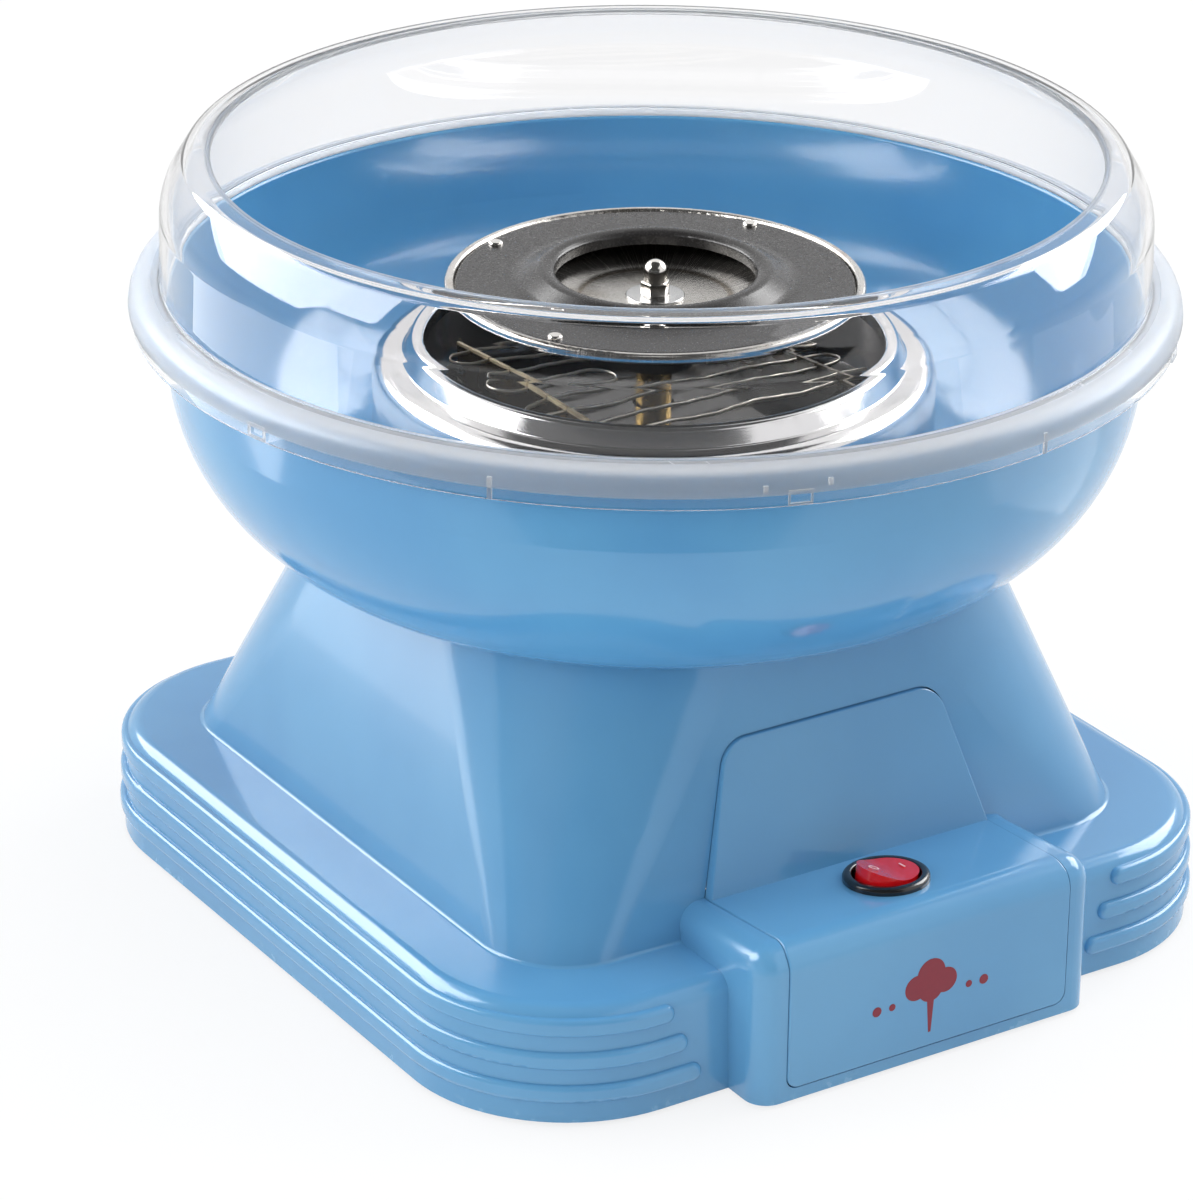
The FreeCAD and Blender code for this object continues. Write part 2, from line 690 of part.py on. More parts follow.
def build_housing():
    """Skirt, pedestal and the frame of the control box: one moulding."""
    shell = new_body("housing_shell")
    prism(
        shell,
        rounded_rectangle(dims.base_half_width, dims.base_half_depth, dims.base_corner),
        dims.foot_proud,
        skirt_height,
        taper=-dims.base_draft,
    )
    top = dims.base_top.number
    fillet(shell, dims.base_top_round, lambda edge: edge.BoundBox.ZMin > top - 0.01)
    neck_loft(shell, 0, "PartDesign::AdditiveLoft", dims.base_top, dims.neck_top)
    fillet(shell, dims.neck_foot_round, is_neck_foot)
    box = build_box("housing_box", 0, 0, dims.box_corner)
    outside = fused("housing_outside", [shell, box, build_bands()])

    hollow = new_body("housing_hollow")
    prism(
        hollow,
        rounded_rectangle(
            dims.base_half_width - dims.wall, dims.base_half_depth - dims.wall, dims.base_corner - dims.wall
        ),
        0,
        dims.base_top - dims.wall,
        taper=-dims.base_draft,
    )
    neck_loft(hollow, dims.wall, "PartDesign::AdditiveLoft", dims.base_top - dims.wall - 1, deck_bottom)
    box_hollow = build_box("housing_box_hollow", dims.wall, 2, dims.box_corner - dims.wall)
    inside = fused("housing_inside", [hollow, box_hollow])
    walls = cut("housing_walls", outside, inside)

    posts = new_body("housing_posts")
    studs(posts, dims.post_radius, post_places, plate_top, dims.base_top - plate_top - 1)
    seats = new_body("housing_bracket_seats")
    studs(seats, dims.bracket_seat_radius, bracket_places, bracket_top, deck_bottom - bracket_top + 1)
    boss = across_back("housing_cord_boss", dims.cord_boss_radius, dims.cord_boss_face, 3.5)
    whole = fused("housing_whole", [walls, posts, seats, boss])

    openings = new_body("housing_openings")
    studs(openings, dims.deck_opening, [(0, 0)], deck_bottom - 1, dims.deck_thickness + 2)
    holes = new_body("housing_screw_holes")
    studs(holes, dims.post_bore, post_places, 0, 20)
    seat_holes = new_body("housing_bracket_holes")
    studs(seat_holes, dims.post_bore, bracket_places, bracket_top - 1, deck_bottom - bracket_top + 3)
    pan_holes = new_body("housing_pan_holes")
    studs(pan_holes, dims.post_bore, pan_screw_places, deck_bottom - 1, dims.deck_thickness + 2)
    cord_hole = across_back("housing_cord_hole", dims.cord_hole, dims.cord_boss_face + 5, 20)
    room = turned(
        "housing_bowl_room",
        [(0, dims.deck_top), *bowl_underside(dims.gap, 0.4), (0, dims.flange_bottom)],
    )
    window = cover_solid("housing_window", dims.cover_proud + 1, dims.cover_wall + 4, dims.cover_slack)
    tools = fused("housing_cuts", [openings, holes, seat_holes, pan_holes, cord_hole, room, window])
    return cut("housing", whole, tools)


bracket_top = deck_bottom - dims.bracket_drop
bracket_thickness = 2.0
bracket_bottom = bracket_top - bracket_thickness
cover_post_places = [(-36.0, -120.0), (36.0, -120.0)]
cover_post_radius = 4.0
switch_placement = Placement(
    Vector(0, -dims.switch_distance.number, dims.switch_height.number),
    Rotation(Vector(1, 0, 0), -dims.switch_tilt.number),
)
rocker_turn = Placement(Vector(), Rotation(Vector(0, 1, 0), dims.rocker_tilt.number))
trunnion_radius = 1.2


def placed(item, placement):
    item.Placement = placement
    return item


def build_cover():
    """Bent plate over the control box and the pedestal's front, with its screw posts."""
    plate = cover_solid("cover_plate", dims.cover_proud, dims.cover_wall, 0)
    plate = rounded_rim("cover_rounded_plate", plate, 0)
    posts = new_body("cover_posts")
    inside_top = dims.box_top_front - 1.5
    studs(posts, cover_post_radius, cover_post_places, plate_top, inside_top - plate_top)
    whole = fused("cover_whole", [plate, posts])
    hole = new_body("cover_switch_hole")
    studs(hole, dims.switch_cutout, [(0, 0)], -10, 20)
    placed(hole, switch_placement)
    bores = new_body("cover_bores")
    studs(bores, dims.post_bore, cover_post_places, 0, 20)
    return cut("control_cover", whole, fused("cover_cuts", [hole, bores]))


def build_bottom_plate():
    """Flat cover that closes the base, with vent slots and screw holes."""
    plate = new_body("bottom_plate_sheet")
    slack = dims.wall + 0.5
    half_width, half_depth = dims.base_half_width - slack, dims.base_half_depth - slack
    prism(
        plate,
        rounded_rectangle(half_width, half_depth, dims.base_corner - slack),
        dims.plate_bottom,
        dims.plate_thickness,
    )
    tongue = new_body("bottom_plate_tongue")
    half = dims.box_half_width - slack
    reach = -dims.box_front + slack
    corner = dims.box_corner - dims.wall
    prism(
        tongue,
        [(-half, reach, corner), (half, reach, corner), (half, -100.0), (-half, -100.0)],
        dims.plate_bottom,
        dims.plate_thickness,
    )
    slots = new_body("bottom_plate_slots")
    for row in (-1, 1):
        for step in range(-4, 5):
            sketch = new_sketch(slots, "XY_Plane", 0)
            across, along = 9.0 * step, 19.0 * row
            draw_outline(sketch, [
                (across - 1.6, along - 13, 1.5),
                (across + 1.6, along - 13, 1.5),
                (across + 1.6, along + 13, 1.5),
                (across - 1.6, along + 13, 1.5),
            ])
            extrude(slots, sketch, 10)
    holes = new_body("bottom_plate_holes")
    studs(holes, dims.post_bore + 0.3, post_places + cover_post_places, 0, 10)
    whole = fused("bottom_plate_whole", [plate, tongue])
    return cut("bottom_plate", whole, fused("bottom_plate_cuts", [slots, holes]))


def build_feet():
    foot = turned("one_foot", [
        (0, 0),
        (dims.foot_radius, 0, 0.8),
        (dims.foot_radius - 0.8, dims.plate_bottom),
        (0, dims.plate_bottom),
    ])
    return copies("rubber_feet", foot, foot_places)


def screw(label, head_bottom, head_height, head_radius, shank_radius, length, upward=True):
    """A round-headed screw on the axis; its shank leaves the head's seat."""
    head_bottom = size_of(head_bottom)
    if upward:
        seat, tip, crown = head_bottom + head_height, head_bottom + head_height + length, head_bottom
    else:
        seat, tip, crown = head_bottom, head_bottom - length, head_bottom + head_height
    return turned(label, [
        (0, crown),
        (head_radius, crown, 0.5),
        (head_radius, seat),
        (shank_radius, seat),
        (shank_radius, tip),
        (0, tip),
    ])


def build_switch():
    """Round snap-in switch: body with bezel and well, blades and the rocker."""
    body = turned("switch_shell", [
        (0, -13.0),
        (dims.switch_cutout - 0.1, -13.0, 0.8),
        (dims.switch_cutout - 0.1, 0),
        (dims.bezel_radius, 0),
        (dims.bezel_radius, dims.bezel_height, 1.2),
        (dims.rocker_well, dims.bezel_height, 0.6),
        (dims.rocker_well, -8.0),
        (0, -8.0),
    ])
    pins = new_body("switch_pin_holes")
    sketch = new_sketch(pins, "XZ_Plane")
    circles(sketch, trunnion_radius + 0.05, [(0, 0)])
    extrude(pins, sketch, 2 * (dims.switch_cutout - 0.4), middle=True)
    switch = placed(cut("switch_body", body, pins), switch_placement)

    blades = []
    for side in (-1, 1):
        blade = Part.makeBox(0.8, 6.3, 9.0, Vector(side * 5.0 - 0.4, -3.15, -22.0))
        blades.append(blade)
    terminals = placed(grouped("switch_terminals", blades), switch_placement)

    core = turned("rocker_core", [
        (0, -5.0),
        (5.5, -5.0),
        (dims.rocker_radius, -1.0),
        (dims.rocker_radius, 4.6),
        (0, 4.6),
    ])
    rise = round(math.tan(math.radians(dims.rocker_tilt.number)), 5)
    valley = 2.2
    reach = 12.0
    notch = new_body("rocker_notch")
    sketch = new_sketch(notch, "XZ_Plane")
    draw_outline(sketch, [
        (0, valley, 14.0),
        (reach, valley + reach * rise),
        (reach, 10.0),
        (-reach, 10.0),
        (-reach, valley + reach * rise),
    ])
    extrude(notch, sketch, 40, middle=True)
    trunnions = new_body("rocker_trunnions")
    sketch = new_sketch(trunnions, "XZ_Plane")
    circles(sketch, trunnion_radius, [(0, 0)])
    extrude(trunnions, sketch, 2 * (dims.switch_cutout - 0.6), middle=True)
    whole = fused("rocker_whole", [cut("rocker_face", core, notch), trunnions])
    rocker = document.addObject("Part::Refine", "switch_rocker")
    rocker.Source = whole
    document.recompute()
    placed(whole, switch_placement * rocker_turn)
    return switch, terminals, rocker


def build_bowl():
    """Deep bowl with a collar round the pan and a rolled rim flange."""
    wall = dims.bowl_wall
    shoulder_height = dims.bowl_shoulder_height + 1.1
    return turned("bowl", [
        (dims.bowl_hole, dims.deck_top),
        *bowl_underside(0, 0),
        (dims.bowl_flange, dims.flange_bottom, 1.0),
        (dims.bowl_flange, dims.bowl_top, dims.bowl_flange_round),
        (dims.bowl_rim - wall, dims.bowl_top, 1.0),
        (dims.bowl_shoulder_radius - wall, shoulder_height, dims.bowl_shoulder_round - wall),
        (dims.bowl_belly_radius - 1.3, dims.bowl_belly_height + 2.2, dims.bowl_belly_round - wall),
        (dims.bowl_hole + wall, dims.deck_top + 2.8, 2.0),
        (dims.bowl_hole + wall, dims.bowl_collar_top, 1.0),
        (dims.bowl_hole, dims.bowl_collar_top, 1.0),
    ])


def build_guard():
    """Clear guard: lip, rounded bead, wall and the turned-in top rim."""
    wall = dims.guard_wall
    lip_radius = dims.guard_radius - dims.guard_lip_step
    return turned("splash_guard", [
        (lip_radius, dims.guard_lip_bottom, 0.5),
        (lip_radius, dims.guard_lip_top),
        (dims.guard_radius, dims.guard_lip_top, 0.3),
        (dims.guard_radius, dims.guard_seat, dims.guard_bead_round),
        (dims.guard_base_radius, dims.guard_seat),
        (dims.guard_mid_radius, dims.guard_mid_height, 16.0),
        (dims.guard_shoulder_radius, dims.guard_top - 0.6, 4.0),
        (dims.guard_opening, dims.guard_top, 0.8),
        (dims.guard_opening, dims.guard_top - wall, 0.8),
        (dims.guard_shoulder_radius - 1.1, dims.guard_top - 2.5, 2.4),
        (dims.guard_mid_radius - wall, dims.guard_mid_height - 0.6, 14.0),
        (dims.guard_base_radius - wall - 0.1, dims.guard_seat - wall),
        (dims.guard_radius - wall, dims.guard_seat - wall, dims.guard_bead_round - wall),
        (dims.guard_radius - wall, dims.guard_lip_bottom, 0.5),
    ])


def build_pan():
    """Polished pressed pan round the heater, with a flange on the deck."""
    metal = dims.pan_sheet
    roll_round = 1.9
    roll_lower_edge = dims.pan_top - 3.4
    body = turned("pan", [
        (dims.pan_flange, dims.deck_top),
        (dims.pan_radius, dims.deck_top),
        (dims.pan_radius, dims.pan_flat, dims.pan_shoulder_round),
        (dims.pan_crease, dims.pan_flat, 0.8),
        (dims.pan_roll, dims.pan_top, roll_round),
        (dims.pan_opening, dims.pan_top, roll_round),
        (dims.pan_opening, roll_lower_edge),
        (dims.pan_opening + metal, roll_lower_edge),
        (dims.pan_opening + metal, dims.pan_top - metal, roll_round - metal),
        (dims.pan_roll - 0.7, dims.pan_top - metal, roll_round - metal),
        (dims.pan_crease - 0.7, dims.pan_flat - metal, 1.8),
        (dims.pan_radius - metal, dims.pan_flat - metal, dims.pan_shoulder_round - metal),
        (dims.pan_radius - metal, dims.deck_top + metal),
        (dims.pan_flange, dims.deck_top + metal),
    ])
    drill(body, dims.post_bore, pan_screw_places, dims.deck_top - 1, 4)
    return body


shield_bottom, shield_sheet = 117.2, 1.0
plate_sheet = 1.2
spacer_radius = 3.5
ribbon_rows = range(8)
split_rows = (3, 4)
hub_clearance = 13.0
ribbon_turn = 46.0


def build_heater():
    """Spacers, heat shield, polished plate, mica strips and the ribbon strung on them."""
    lower = turned("one_lower_spacer", [
        (0, dims.deck_top),
        (spacer_radius, dims.deck_top),
        (spacer_radius, shield_bottom),
        (0, shield_bottom),
    ])
    shield_top = shield_bottom + shield_sheet
    plate_low = dims.heater_plate_top - plate_sheet
    upper = turned("one_upper_spacer", [
        (0, shield_top), (spacer_radius, shield_top), (spacer_radius, plate_low), (0, plate_low),
    ])
    shield = turned("heat_shield", [
        (9.0, shield_bottom), (57.0, shield_bottom), (57.0, shield_top), (9.0, shield_top),
    ])
    plate = turned("heater_plate", [
        (dims.heater_plate_hole, plate_low),
        (dims.heater_plate_radius, plate_low),
        (dims.heater_plate_radius, dims.heater_plate_top),
        (dims.heater_plate_hole, dims.heater_plate_top),
    ])
    cutout = turned("thermal_cutout", [
        (0, shield_top), (6.0, shield_top), (6.0, shield_top + 5.0, 0.8), (0, shield_top + 5.0),
    ])
    placed(cutout, Placement(Vector(24, 0, 0), Rotation()))
    ribbon = build_ribbon()
    strips = [build_strip(side) for side in (-1, 1)]
    return [
        copies("lower_spacers", lower, heater_places),
        copies("upper_spacers", upper, heater_places),
        shield, plate, cutout, ribbon, *strips,
    ]


def ribbon_bar(start, end, thickness, low, height):
    """An upright bar of the ribbon's section from (x, y) start to end."""
    run = Vector(end[0] - start[0], end[1] - start[1], 0)
    bar = Part.makeBox(run.Length, thickness, height, Vector(0, -thickness / 2, low))
    turn = math.degrees(math.atan2(run.y, run.x))
    bar.Placement = Placement(Vector(start[0], start[1], 0), Rotation(Vector(0, 0, 1), turn))
    return bar


def row_place(row):
    """Distance of a run of ribbon from the head's axis, along Y."""
    return (row - 3.5) * dims.ribbon_pitch.number


def build_ribbon():
    """Runs of ribbon along X, joined at their ends and turned back at the hub."""
    thickness, low = dims.ribbon_thickness.number, dims.ribbon_height.number
    height = dims.ribbon_width.number
    joint = thickness / 2
    far = ribbon_turn + joint
    paths = []
    for row in ribbon_rows:
        y = row_place(row)
        if row in split_rows:
            paths += [((-far, y), (-hub_clearance, y)), ((hub_clearance, y), (far, y))]
        else:
            paths.append(((-far, y), (far, y)))
    first, last = (row_place(row) for row in split_rows)
    for side in (-1, 1):
        paths.append(((side * hub_clearance, first - joint), (side * hub_clearance, last + joint)))
    for side, joined_rows in ((-1, (0, 2, 4, 6)), (1, (1, 2, 4, 5))):
        for row in joined_rows:
            paths.append(((side * ribbon_turn, row_place(row)), (side * ribbon_turn, row_place(row + 1))))
    bars = [ribbon_bar(start, end, thickness, low, height) for start, end in paths]
    ribbon = document.addObject("Part::Feature", "heating_ribbon")
    ribbon.Shape = bars[0].multiFuse(bars[1:]).removeSplitter()
    return ribbon


def build_strip(side):
    """Mica strip on edge, notched where the ribbon crosses it."""
    name = "left" if side < 0 else "right"
    strip = document.addObject("Part::Box", f"{name}_strip_blank")
    strip.setExpression("Length", "1")
    strip.setExpression("Width", "2 * Dims.strip_half_length")
    strip.setExpression("Height", "Dims.strip_top - Dims.heater_plate_top")
    strip.setExpression("Placement.Base.x", f"{side} * Dims.strip_offset - 0.5")
    strip.setExpression("Placement.Base.y", "-1 * Dims.strip_half_length")
    strip.setExpression("Placement.Base.z", "Dims.heater_plate_top")
    low = dims.ribbon_height.number - 0.1
    notches = []
    for row in ribbon_rows:
        corner = Vector(side * dims.strip_offset.number - 1, row_place(row) - 0.3, low)
        notches.append(Part.makeBox(2, 0.6, 10, corner))
    tool = grouped(f"{name}_strip_notches", notches)
    return cut(f"mica_strip_{name}", strip, tool)


def build_head():
    """Spinning head: cup, black disc, rivets, washer and cap nut."""
    thread_hole = dims.thread_radius + 0.1
    shaft_hole = dims.shaft_radius + 0.02
    rim_inside = dims.head_radius - dims.head_rim_wall
    flange_under = dims.cup_flange - dims.cup_sheet
    cup = turned("head_cup", [
        (shaft_hole, dims.hub_bottom),
        (dims.hub_radius, dims.hub_bottom, 0.8),
        (dims.hub_radius, dims.cup_floor - dims.cup_sheet, dims.hub_round),
        (dims.cup_floor_radius + 0.3, dims.cup_floor - dims.cup_sheet, 6.0),
        (dims.cup_slope_radius + 0.3, flange_under, 4.0),
        (dims.head_radius, flange_under, 1.3),
        (dims.head_radius, dims.head_rim_top, dims.head_rim_round),
        (rim_inside, dims.head_rim_top, dims.head_rim_round),
        (rim_inside, dims.cup_flange, 0.3),
        (dims.cup_slope_radius, dims.cup_flange, 4.0),
        (dims.cup_floor_radius, dims.cup_floor, 6.0),
        (thread_hole, dims.cup_floor),
        (thread_hole, dims.shaft_shoulder),
        (shaft_hole, dims.shaft_shoulder),
    ])
    drill(cup, rivet_hole, rivet_places, flange_under - 1, 3)

    under = dims.head_top - dims.disc_sheet
    disc = turned("head_disc", [
        (dims.disc_radius, under),
        (dims.disc_radius, dims.head_top, 0.5),
        (dims.lip_outer, dims.head_top, 8.0),
        (dims.lip_crest, dims.lip_top, 3.5),
        (dims.feed_hole, dims.lip_top - 1.6, 0.8),
        (dims.feed_hole, dims.lip_top - 4.4),
        (dims.feed_hole + 1.2, dims.lip_top - 4.4),
        (dims.feed_hole + 1.2, dims.lip_top - 2.4, 0.5),
        (dims.lip_crest, dims.lip_top - 1.5, 2.0),
        (dims.lip_outer - 0.4, under, 7.0),
    ])
    drill(disc, rivet_hole, rivet_places, under - 1, 4)

    shank, head, shoulder = rivet_hole - 0.05, 2.0, 2.4
    rivet = turned("one_rivet", [
        (0, flange_under - 0.8),
        (head, flange_under - 0.8, 0.3),
        (head, flange_under),
        (shank, flange_under),
        (shank, dims.cup_flange),
        (shoulder, dims.cup_flange),
        (shoulder, under),
        (shank, under),
        (shank, dims.head_top),
        (head, dims.head_top),
        (head, dims.head_top + 0.9, 0.7),
        (0, dims.head_top + 0.9),
    ])
    rivets = copies("head_rivets", rivet, rivet_places)
    washer = turned("washer", [
        (thread_hole, dims.cup_floor),
        (dims.washer_radius, dims.cup_floor, 0.2),
        (dims.washer_radius, dims.washer_top, 0.3),
        (thread_hole, dims.washer_top),
    ])
    return [cup, disc, rivets, washer, build_cap_nut()]


def build_cap_nut():
    """M4 cap nut: hexagon with a domed end."""
    corner_radius = dims.nut_across_flats.number / 2 / math.cos(math.radians(30))
    hexagon = new_body("cap_nut_hexagon")
    corners = [(float(x), float(y)) for x, y in ring_places(size_of(corner_radius), 6, 10)]
    prism(hexagon, corners, dims.washer_top, dims.nut_top - dims.washer_top)
    chamfer = turned("cap_nut_chamfer", [
        (0, dims.washer_top),
        (corner_radius - 0.3, dims.washer_top),
        (corner_radius, dims.washer_top + 0.2),
        (corner_radius, dims.nut_top - 0.5),
        (corner_radius - 0.8, dims.nut_top),
        (0, dims.nut_top),
    ])
    trimmed = document.addObject("Part::Common", "cap_nut_trimmed")
    trimmed.Base = hexagon
    trimmed.Tool = chamfer
    dome = turned("cap_nut_dome", [
        (0, dims.washer_top),
        (dims.dome_radius, dims.washer_top),
        (dims.dome_radius, dims.dome_top, dims.dome_radius - 0.02),
        (0, dims.dome_top),
    ])
    bore_radius, bore_top = dims.thread_radius + 0.1, dims.thread_top + 0.4
    bore = turned("cap_nut_bore", [
        (0, dims.washer_top - 1),
        (bore_radius, dims.washer_top - 1),
        (bore_radius, bore_top),
        (0, bore_top),
    ])
    return cut("cap_nut", fused("cap_nut_whole", [trimmed, dome]), bore)


rivet_places = ring_places(dims.rivet_circle, 4, 26)
rivet_hole = 1.15
neck_height = 97.2
shaft_bottom = 31.0
motor_screw_places = ring_places(size_of(22.0), 4, 0)


magnet_low, magnet_height = 52.0, 28.0
magnet_inside, magnet_outside = 20.0, 29.3
magnet_half_span = 22.0


def magnet(side):
    """One curved magnet on the left or right inside the motor case."""
    floor = Vector(0, 0, magnet_low)
    ring = Part.makeCylinder(magnet_outside, magnet_height, floor)
    ring = ring.cut(Part.makeCylinder(magnet_inside, magnet_height, floor))
    start = 6.0 if side > 0 else -magnet_outside - 6.0
    corner = Vector(start, -magnet_half_span, magnet_low)
    return ring.common(Part.makeBox(magnet_outside, 2 * magnet_half_span, magnet_height, corner))


def build_motor():
    """Brushed motor hung under the deck: case, bracket, bearings, magnets and brushes."""
    case = turned("motor_case", [
        (dims.bearing_radius, dims.case_bottom),
        (dims.case_radius, dims.case_bottom, 3.0),
        (dims.case_radius, dims.case_top),
        (dims.case_radius - dims.case_sheet, dims.case_top),
        (dims.case_radius - dims.case_sheet, dims.case_bottom + dims.case_sheet, 1.4),
        (dims.bearing_radius, dims.case_bottom + dims.case_sheet),
    ])
    cap = turned("motor_end_cap", [
        (dims.bearing_radius, dims.case_top),
        (dims.case_radius, dims.case_top),
        (dims.case_radius, bracket_bottom),
        (dims.deck_opening - 0.6, bracket_bottom),
        (dims.deck_opening - 0.6, neck_height),
        (dims.bearing_radius, neck_height),
    ])
    drill(cap, dims.post_bore, motor_screw_places, dims.case_top - 1, 10)
    bracket = new_body("motor_bracket")
    prism(bracket, rounded_rectangle(36.0, 36.0, 9.0), bracket_bottom, bracket_thickness)
    drill(bracket, dims.deck_opening - 0.4, [(0, 0)], bracket_bottom - 1, 4)
    drill(bracket, dims.post_bore + 0.2, bracket_places + motor_screw_places, bracket_bottom - 1, 4)
    bushes = [
        turned(name, [
            (dims.shaft_radius + dims.running_fit, low),
            (dims.bearing_radius, low, 0.4),
            (dims.bearing_radius, high, 0.4),
            (dims.shaft_radius + dims.running_fit, high),
        ])
        for name, low, high in (("lower_bearing", 41.0, 48.0), ("upper_bearing", 89.0, neck_height))
    ]
    magnets = [magnet(side) for side in (-1, 1)]
    holders = []
    brushes = []
    for side in (-1, 1):
        near, far = (16.0, 26.0) if side > 0 else (-26.0, -16.0)
        holders.append(Part.makeBox(far - near, 7, 8, Vector(near, -3.5, dims.case_top.number - 8)))
        start = 7.8 if side > 0 else -16.0
        brushes.append(Part.makeBox(8.2, 4, 4, Vector(start, -2, dims.case_top.number - 6)))
    return [
        case, cap, bracket, *bushes,
        grouped("field_magnets", magnets),
        grouped("brush_holders", holders),
        grouped("carbon_brushes", brushes),
    ]


fan_low = 33.0
fan_hub_radius = 6.5
fan_blades = 9


def build_rotor():
    """What turns with the shaft inside the motor, and the sleeve under the head."""
    shaft = turned("motor_shaft", [
        (0, shaft_bottom),
        (dims.shaft_radius, shaft_bottom, 0.5),
        (dims.shaft_radius, dims.shaft_shoulder),
        (dims.thread_radius, dims.shaft_shoulder),
        (dims.thread_radius, dims.thread_top),
        (0, dims.thread_top),
    ])
    bore = dims.shaft_radius + 0.02
    core = turned("armature_core", [
        (bore, 54.0), (dims.armature_radius, 54.0), (dims.armature_radius, 76.0), (bore, 76.0),
    ])
    windings = fused("armature_windings", [
        turned("lower_winding", [(bore, 49.5), (14.0, 49.5, 2.0), (14.0, 54.0), (bore, 54.0)]),
        turned("upper_winding", [(bore, 76.0), (14.0, 76.0), (14.0, 80.0, 2.0), (bore, 80.0)]),
    ])
    commutator = turned("commutator", [(bore, 80.5), (7.5, 80.5, 0.5), (7.5, 87.5, 0.5), (bore, 87.5)])
    sleeve = turned("drive_sleeve", [
        (bore, dims.sleeve_bottom),
        (dims.sleeve_radius, dims.sleeve_bottom, 0.5),
        (dims.sleeve_radius, dims.hub_bottom),
        (bore, dims.hub_bottom),
    ])
    fan_hub = turned("fan_hub", [
        (bore, fan_low),
        (dims.fan_radius, fan_low),
        (dims.fan_radius, fan_low + 1.2),
        (fan_hub_radius, fan_low + 1.2),
        (fan_hub_radius, fan_low + 7.0, 0.5),
        (bore, fan_low + 7.0),
    ])
    blades = []
    for step in range(fan_blades):
        inner = fan_hub_radius - 0.5
        corner = Vector(inner, -0.5, fan_low + 1.0)
        blade = Part.makeBox(dims.fan_radius.number - inner, 1.0, 5.0, corner)
        blade.rotate(Vector(), Vector(0, 0, 1), 360 / fan_blades * step)
        blades.append(blade)
    fan = fused("cooling_fan", [fan_hub, grouped("fan_blades", blades)])
    return [shaft, core, windings, commutator, sleeve, fan]


def build_cord_bush():
    """Flanged bush that lines the cord's hole in the back of the skirt."""
    boss_face = dims.cord_boss_face
    bush = turned("cord_bush", [
        (3.6, boss_face - 7.0),
        (dims.cord_hole - 0.1, boss_face - 7.0),
        (dims.cord_hole - 0.1, boss_face),
        (6.6, boss_face),
        (6.6, boss_face + 1.6, 0.8),
        (3.6, boss_face + 1.6, 0.6),
    ])
    turn = Rotation(Vector(1, 0, 0), -90)
    return placed(bush, Placement(Vector(dims.cord_across.number, 0, dims.cord_height.number), turn))


housing = build_housing()
cover = build_cover()
switch, terminals, rocker = build_switch()
pieces = [housing, cover, build_bottom_plate(), build_feet(), switch, terminals, rocker]
pieces += [build_bowl(), build_guard(), build_pan(), *build_heater(), *build_head()]
pieces += [*build_motor(), *build_rotor(), build_cord_bush()]

under_head = dims.plate_bottom - 1.3
base_screw = screw("one_base_screw", under_head, 1.3, 3.0, 1.45, 12.0)
pieces.append(copies("base_screws", base_screw, post_places))
pieces.append(copies("cover_screws", base_screw, cover_post_places))
pan_screw = screw("one_pan_screw", dims.deck_top + dims.pan_sheet, 1.6, 2.8, 1.35, 3.6, upward=False)
pieces.append(copies("pan_screws", pan_screw, pan_screw_places))
bracket_screw = screw("one_bracket_screw", bracket_bottom - 1.6, 1.6, 3.0, 1.45, 6.0)
pieces.append(copies("bracket_screws", bracket_screw, bracket_places))
motor_screw = screw("one_motor_screw", bracket_top, 1.6, 2.8, 1.45, 5.0, upward=False)
pieces.append(copies("motor_screws", motor_screw, motor_screw_places))

document.recompute()

for item in document.Objects:
    if "Invalid" in item.State or "Error" in item.State:
        raise RuntimeError(f"{item.Name} failed: {item.State}")
for piece in pieces:
    if piece.Shape.isNull() or not piece.Shape.isValid():
        raise RuntimeError(f"{piece.Label} has no valid shape")
os.makedirs("parts", exist_ok=True)
for old in os.listdir("parts"):
    if old.endswith(".step"):
        os.remove(os.path.join("parts", old))
for piece in pieces:
    piece.Shape.exportStep(f"parts/{piece.Label}.step")
    print(piece.Label, len(piece.Shape.Solids), round(piece.Shape.Volume))
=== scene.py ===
import math

import bmesh
import bpy
from mathutils import Matrix, Vector


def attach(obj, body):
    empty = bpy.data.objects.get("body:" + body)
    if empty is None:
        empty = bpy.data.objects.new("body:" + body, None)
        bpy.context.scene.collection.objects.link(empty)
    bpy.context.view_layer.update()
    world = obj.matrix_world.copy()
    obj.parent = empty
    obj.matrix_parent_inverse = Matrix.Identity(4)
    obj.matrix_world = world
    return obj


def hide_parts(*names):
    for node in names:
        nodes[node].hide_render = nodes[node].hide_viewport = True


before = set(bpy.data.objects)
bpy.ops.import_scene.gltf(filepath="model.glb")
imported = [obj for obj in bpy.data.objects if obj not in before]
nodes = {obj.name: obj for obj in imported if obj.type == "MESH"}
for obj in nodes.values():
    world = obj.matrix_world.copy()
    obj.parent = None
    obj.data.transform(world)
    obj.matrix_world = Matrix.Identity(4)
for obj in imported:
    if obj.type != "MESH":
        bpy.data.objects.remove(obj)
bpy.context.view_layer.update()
scene = bpy.context.scene
scene.view_settings.view_transform = "Standard"
mm = 0.001

cameraLook = {
    "azimuth": -32.74,   # degrees round from straight in front
    "elevation": 24.5,
    "roll": 0.58,
    "distance": 1369.49,
    "aimHeight": 78.31,
    "aimAcross": -14.785,
    "aimUp": 1.098,
    "lens": 150.0,
    "sensor": 36.0,
}


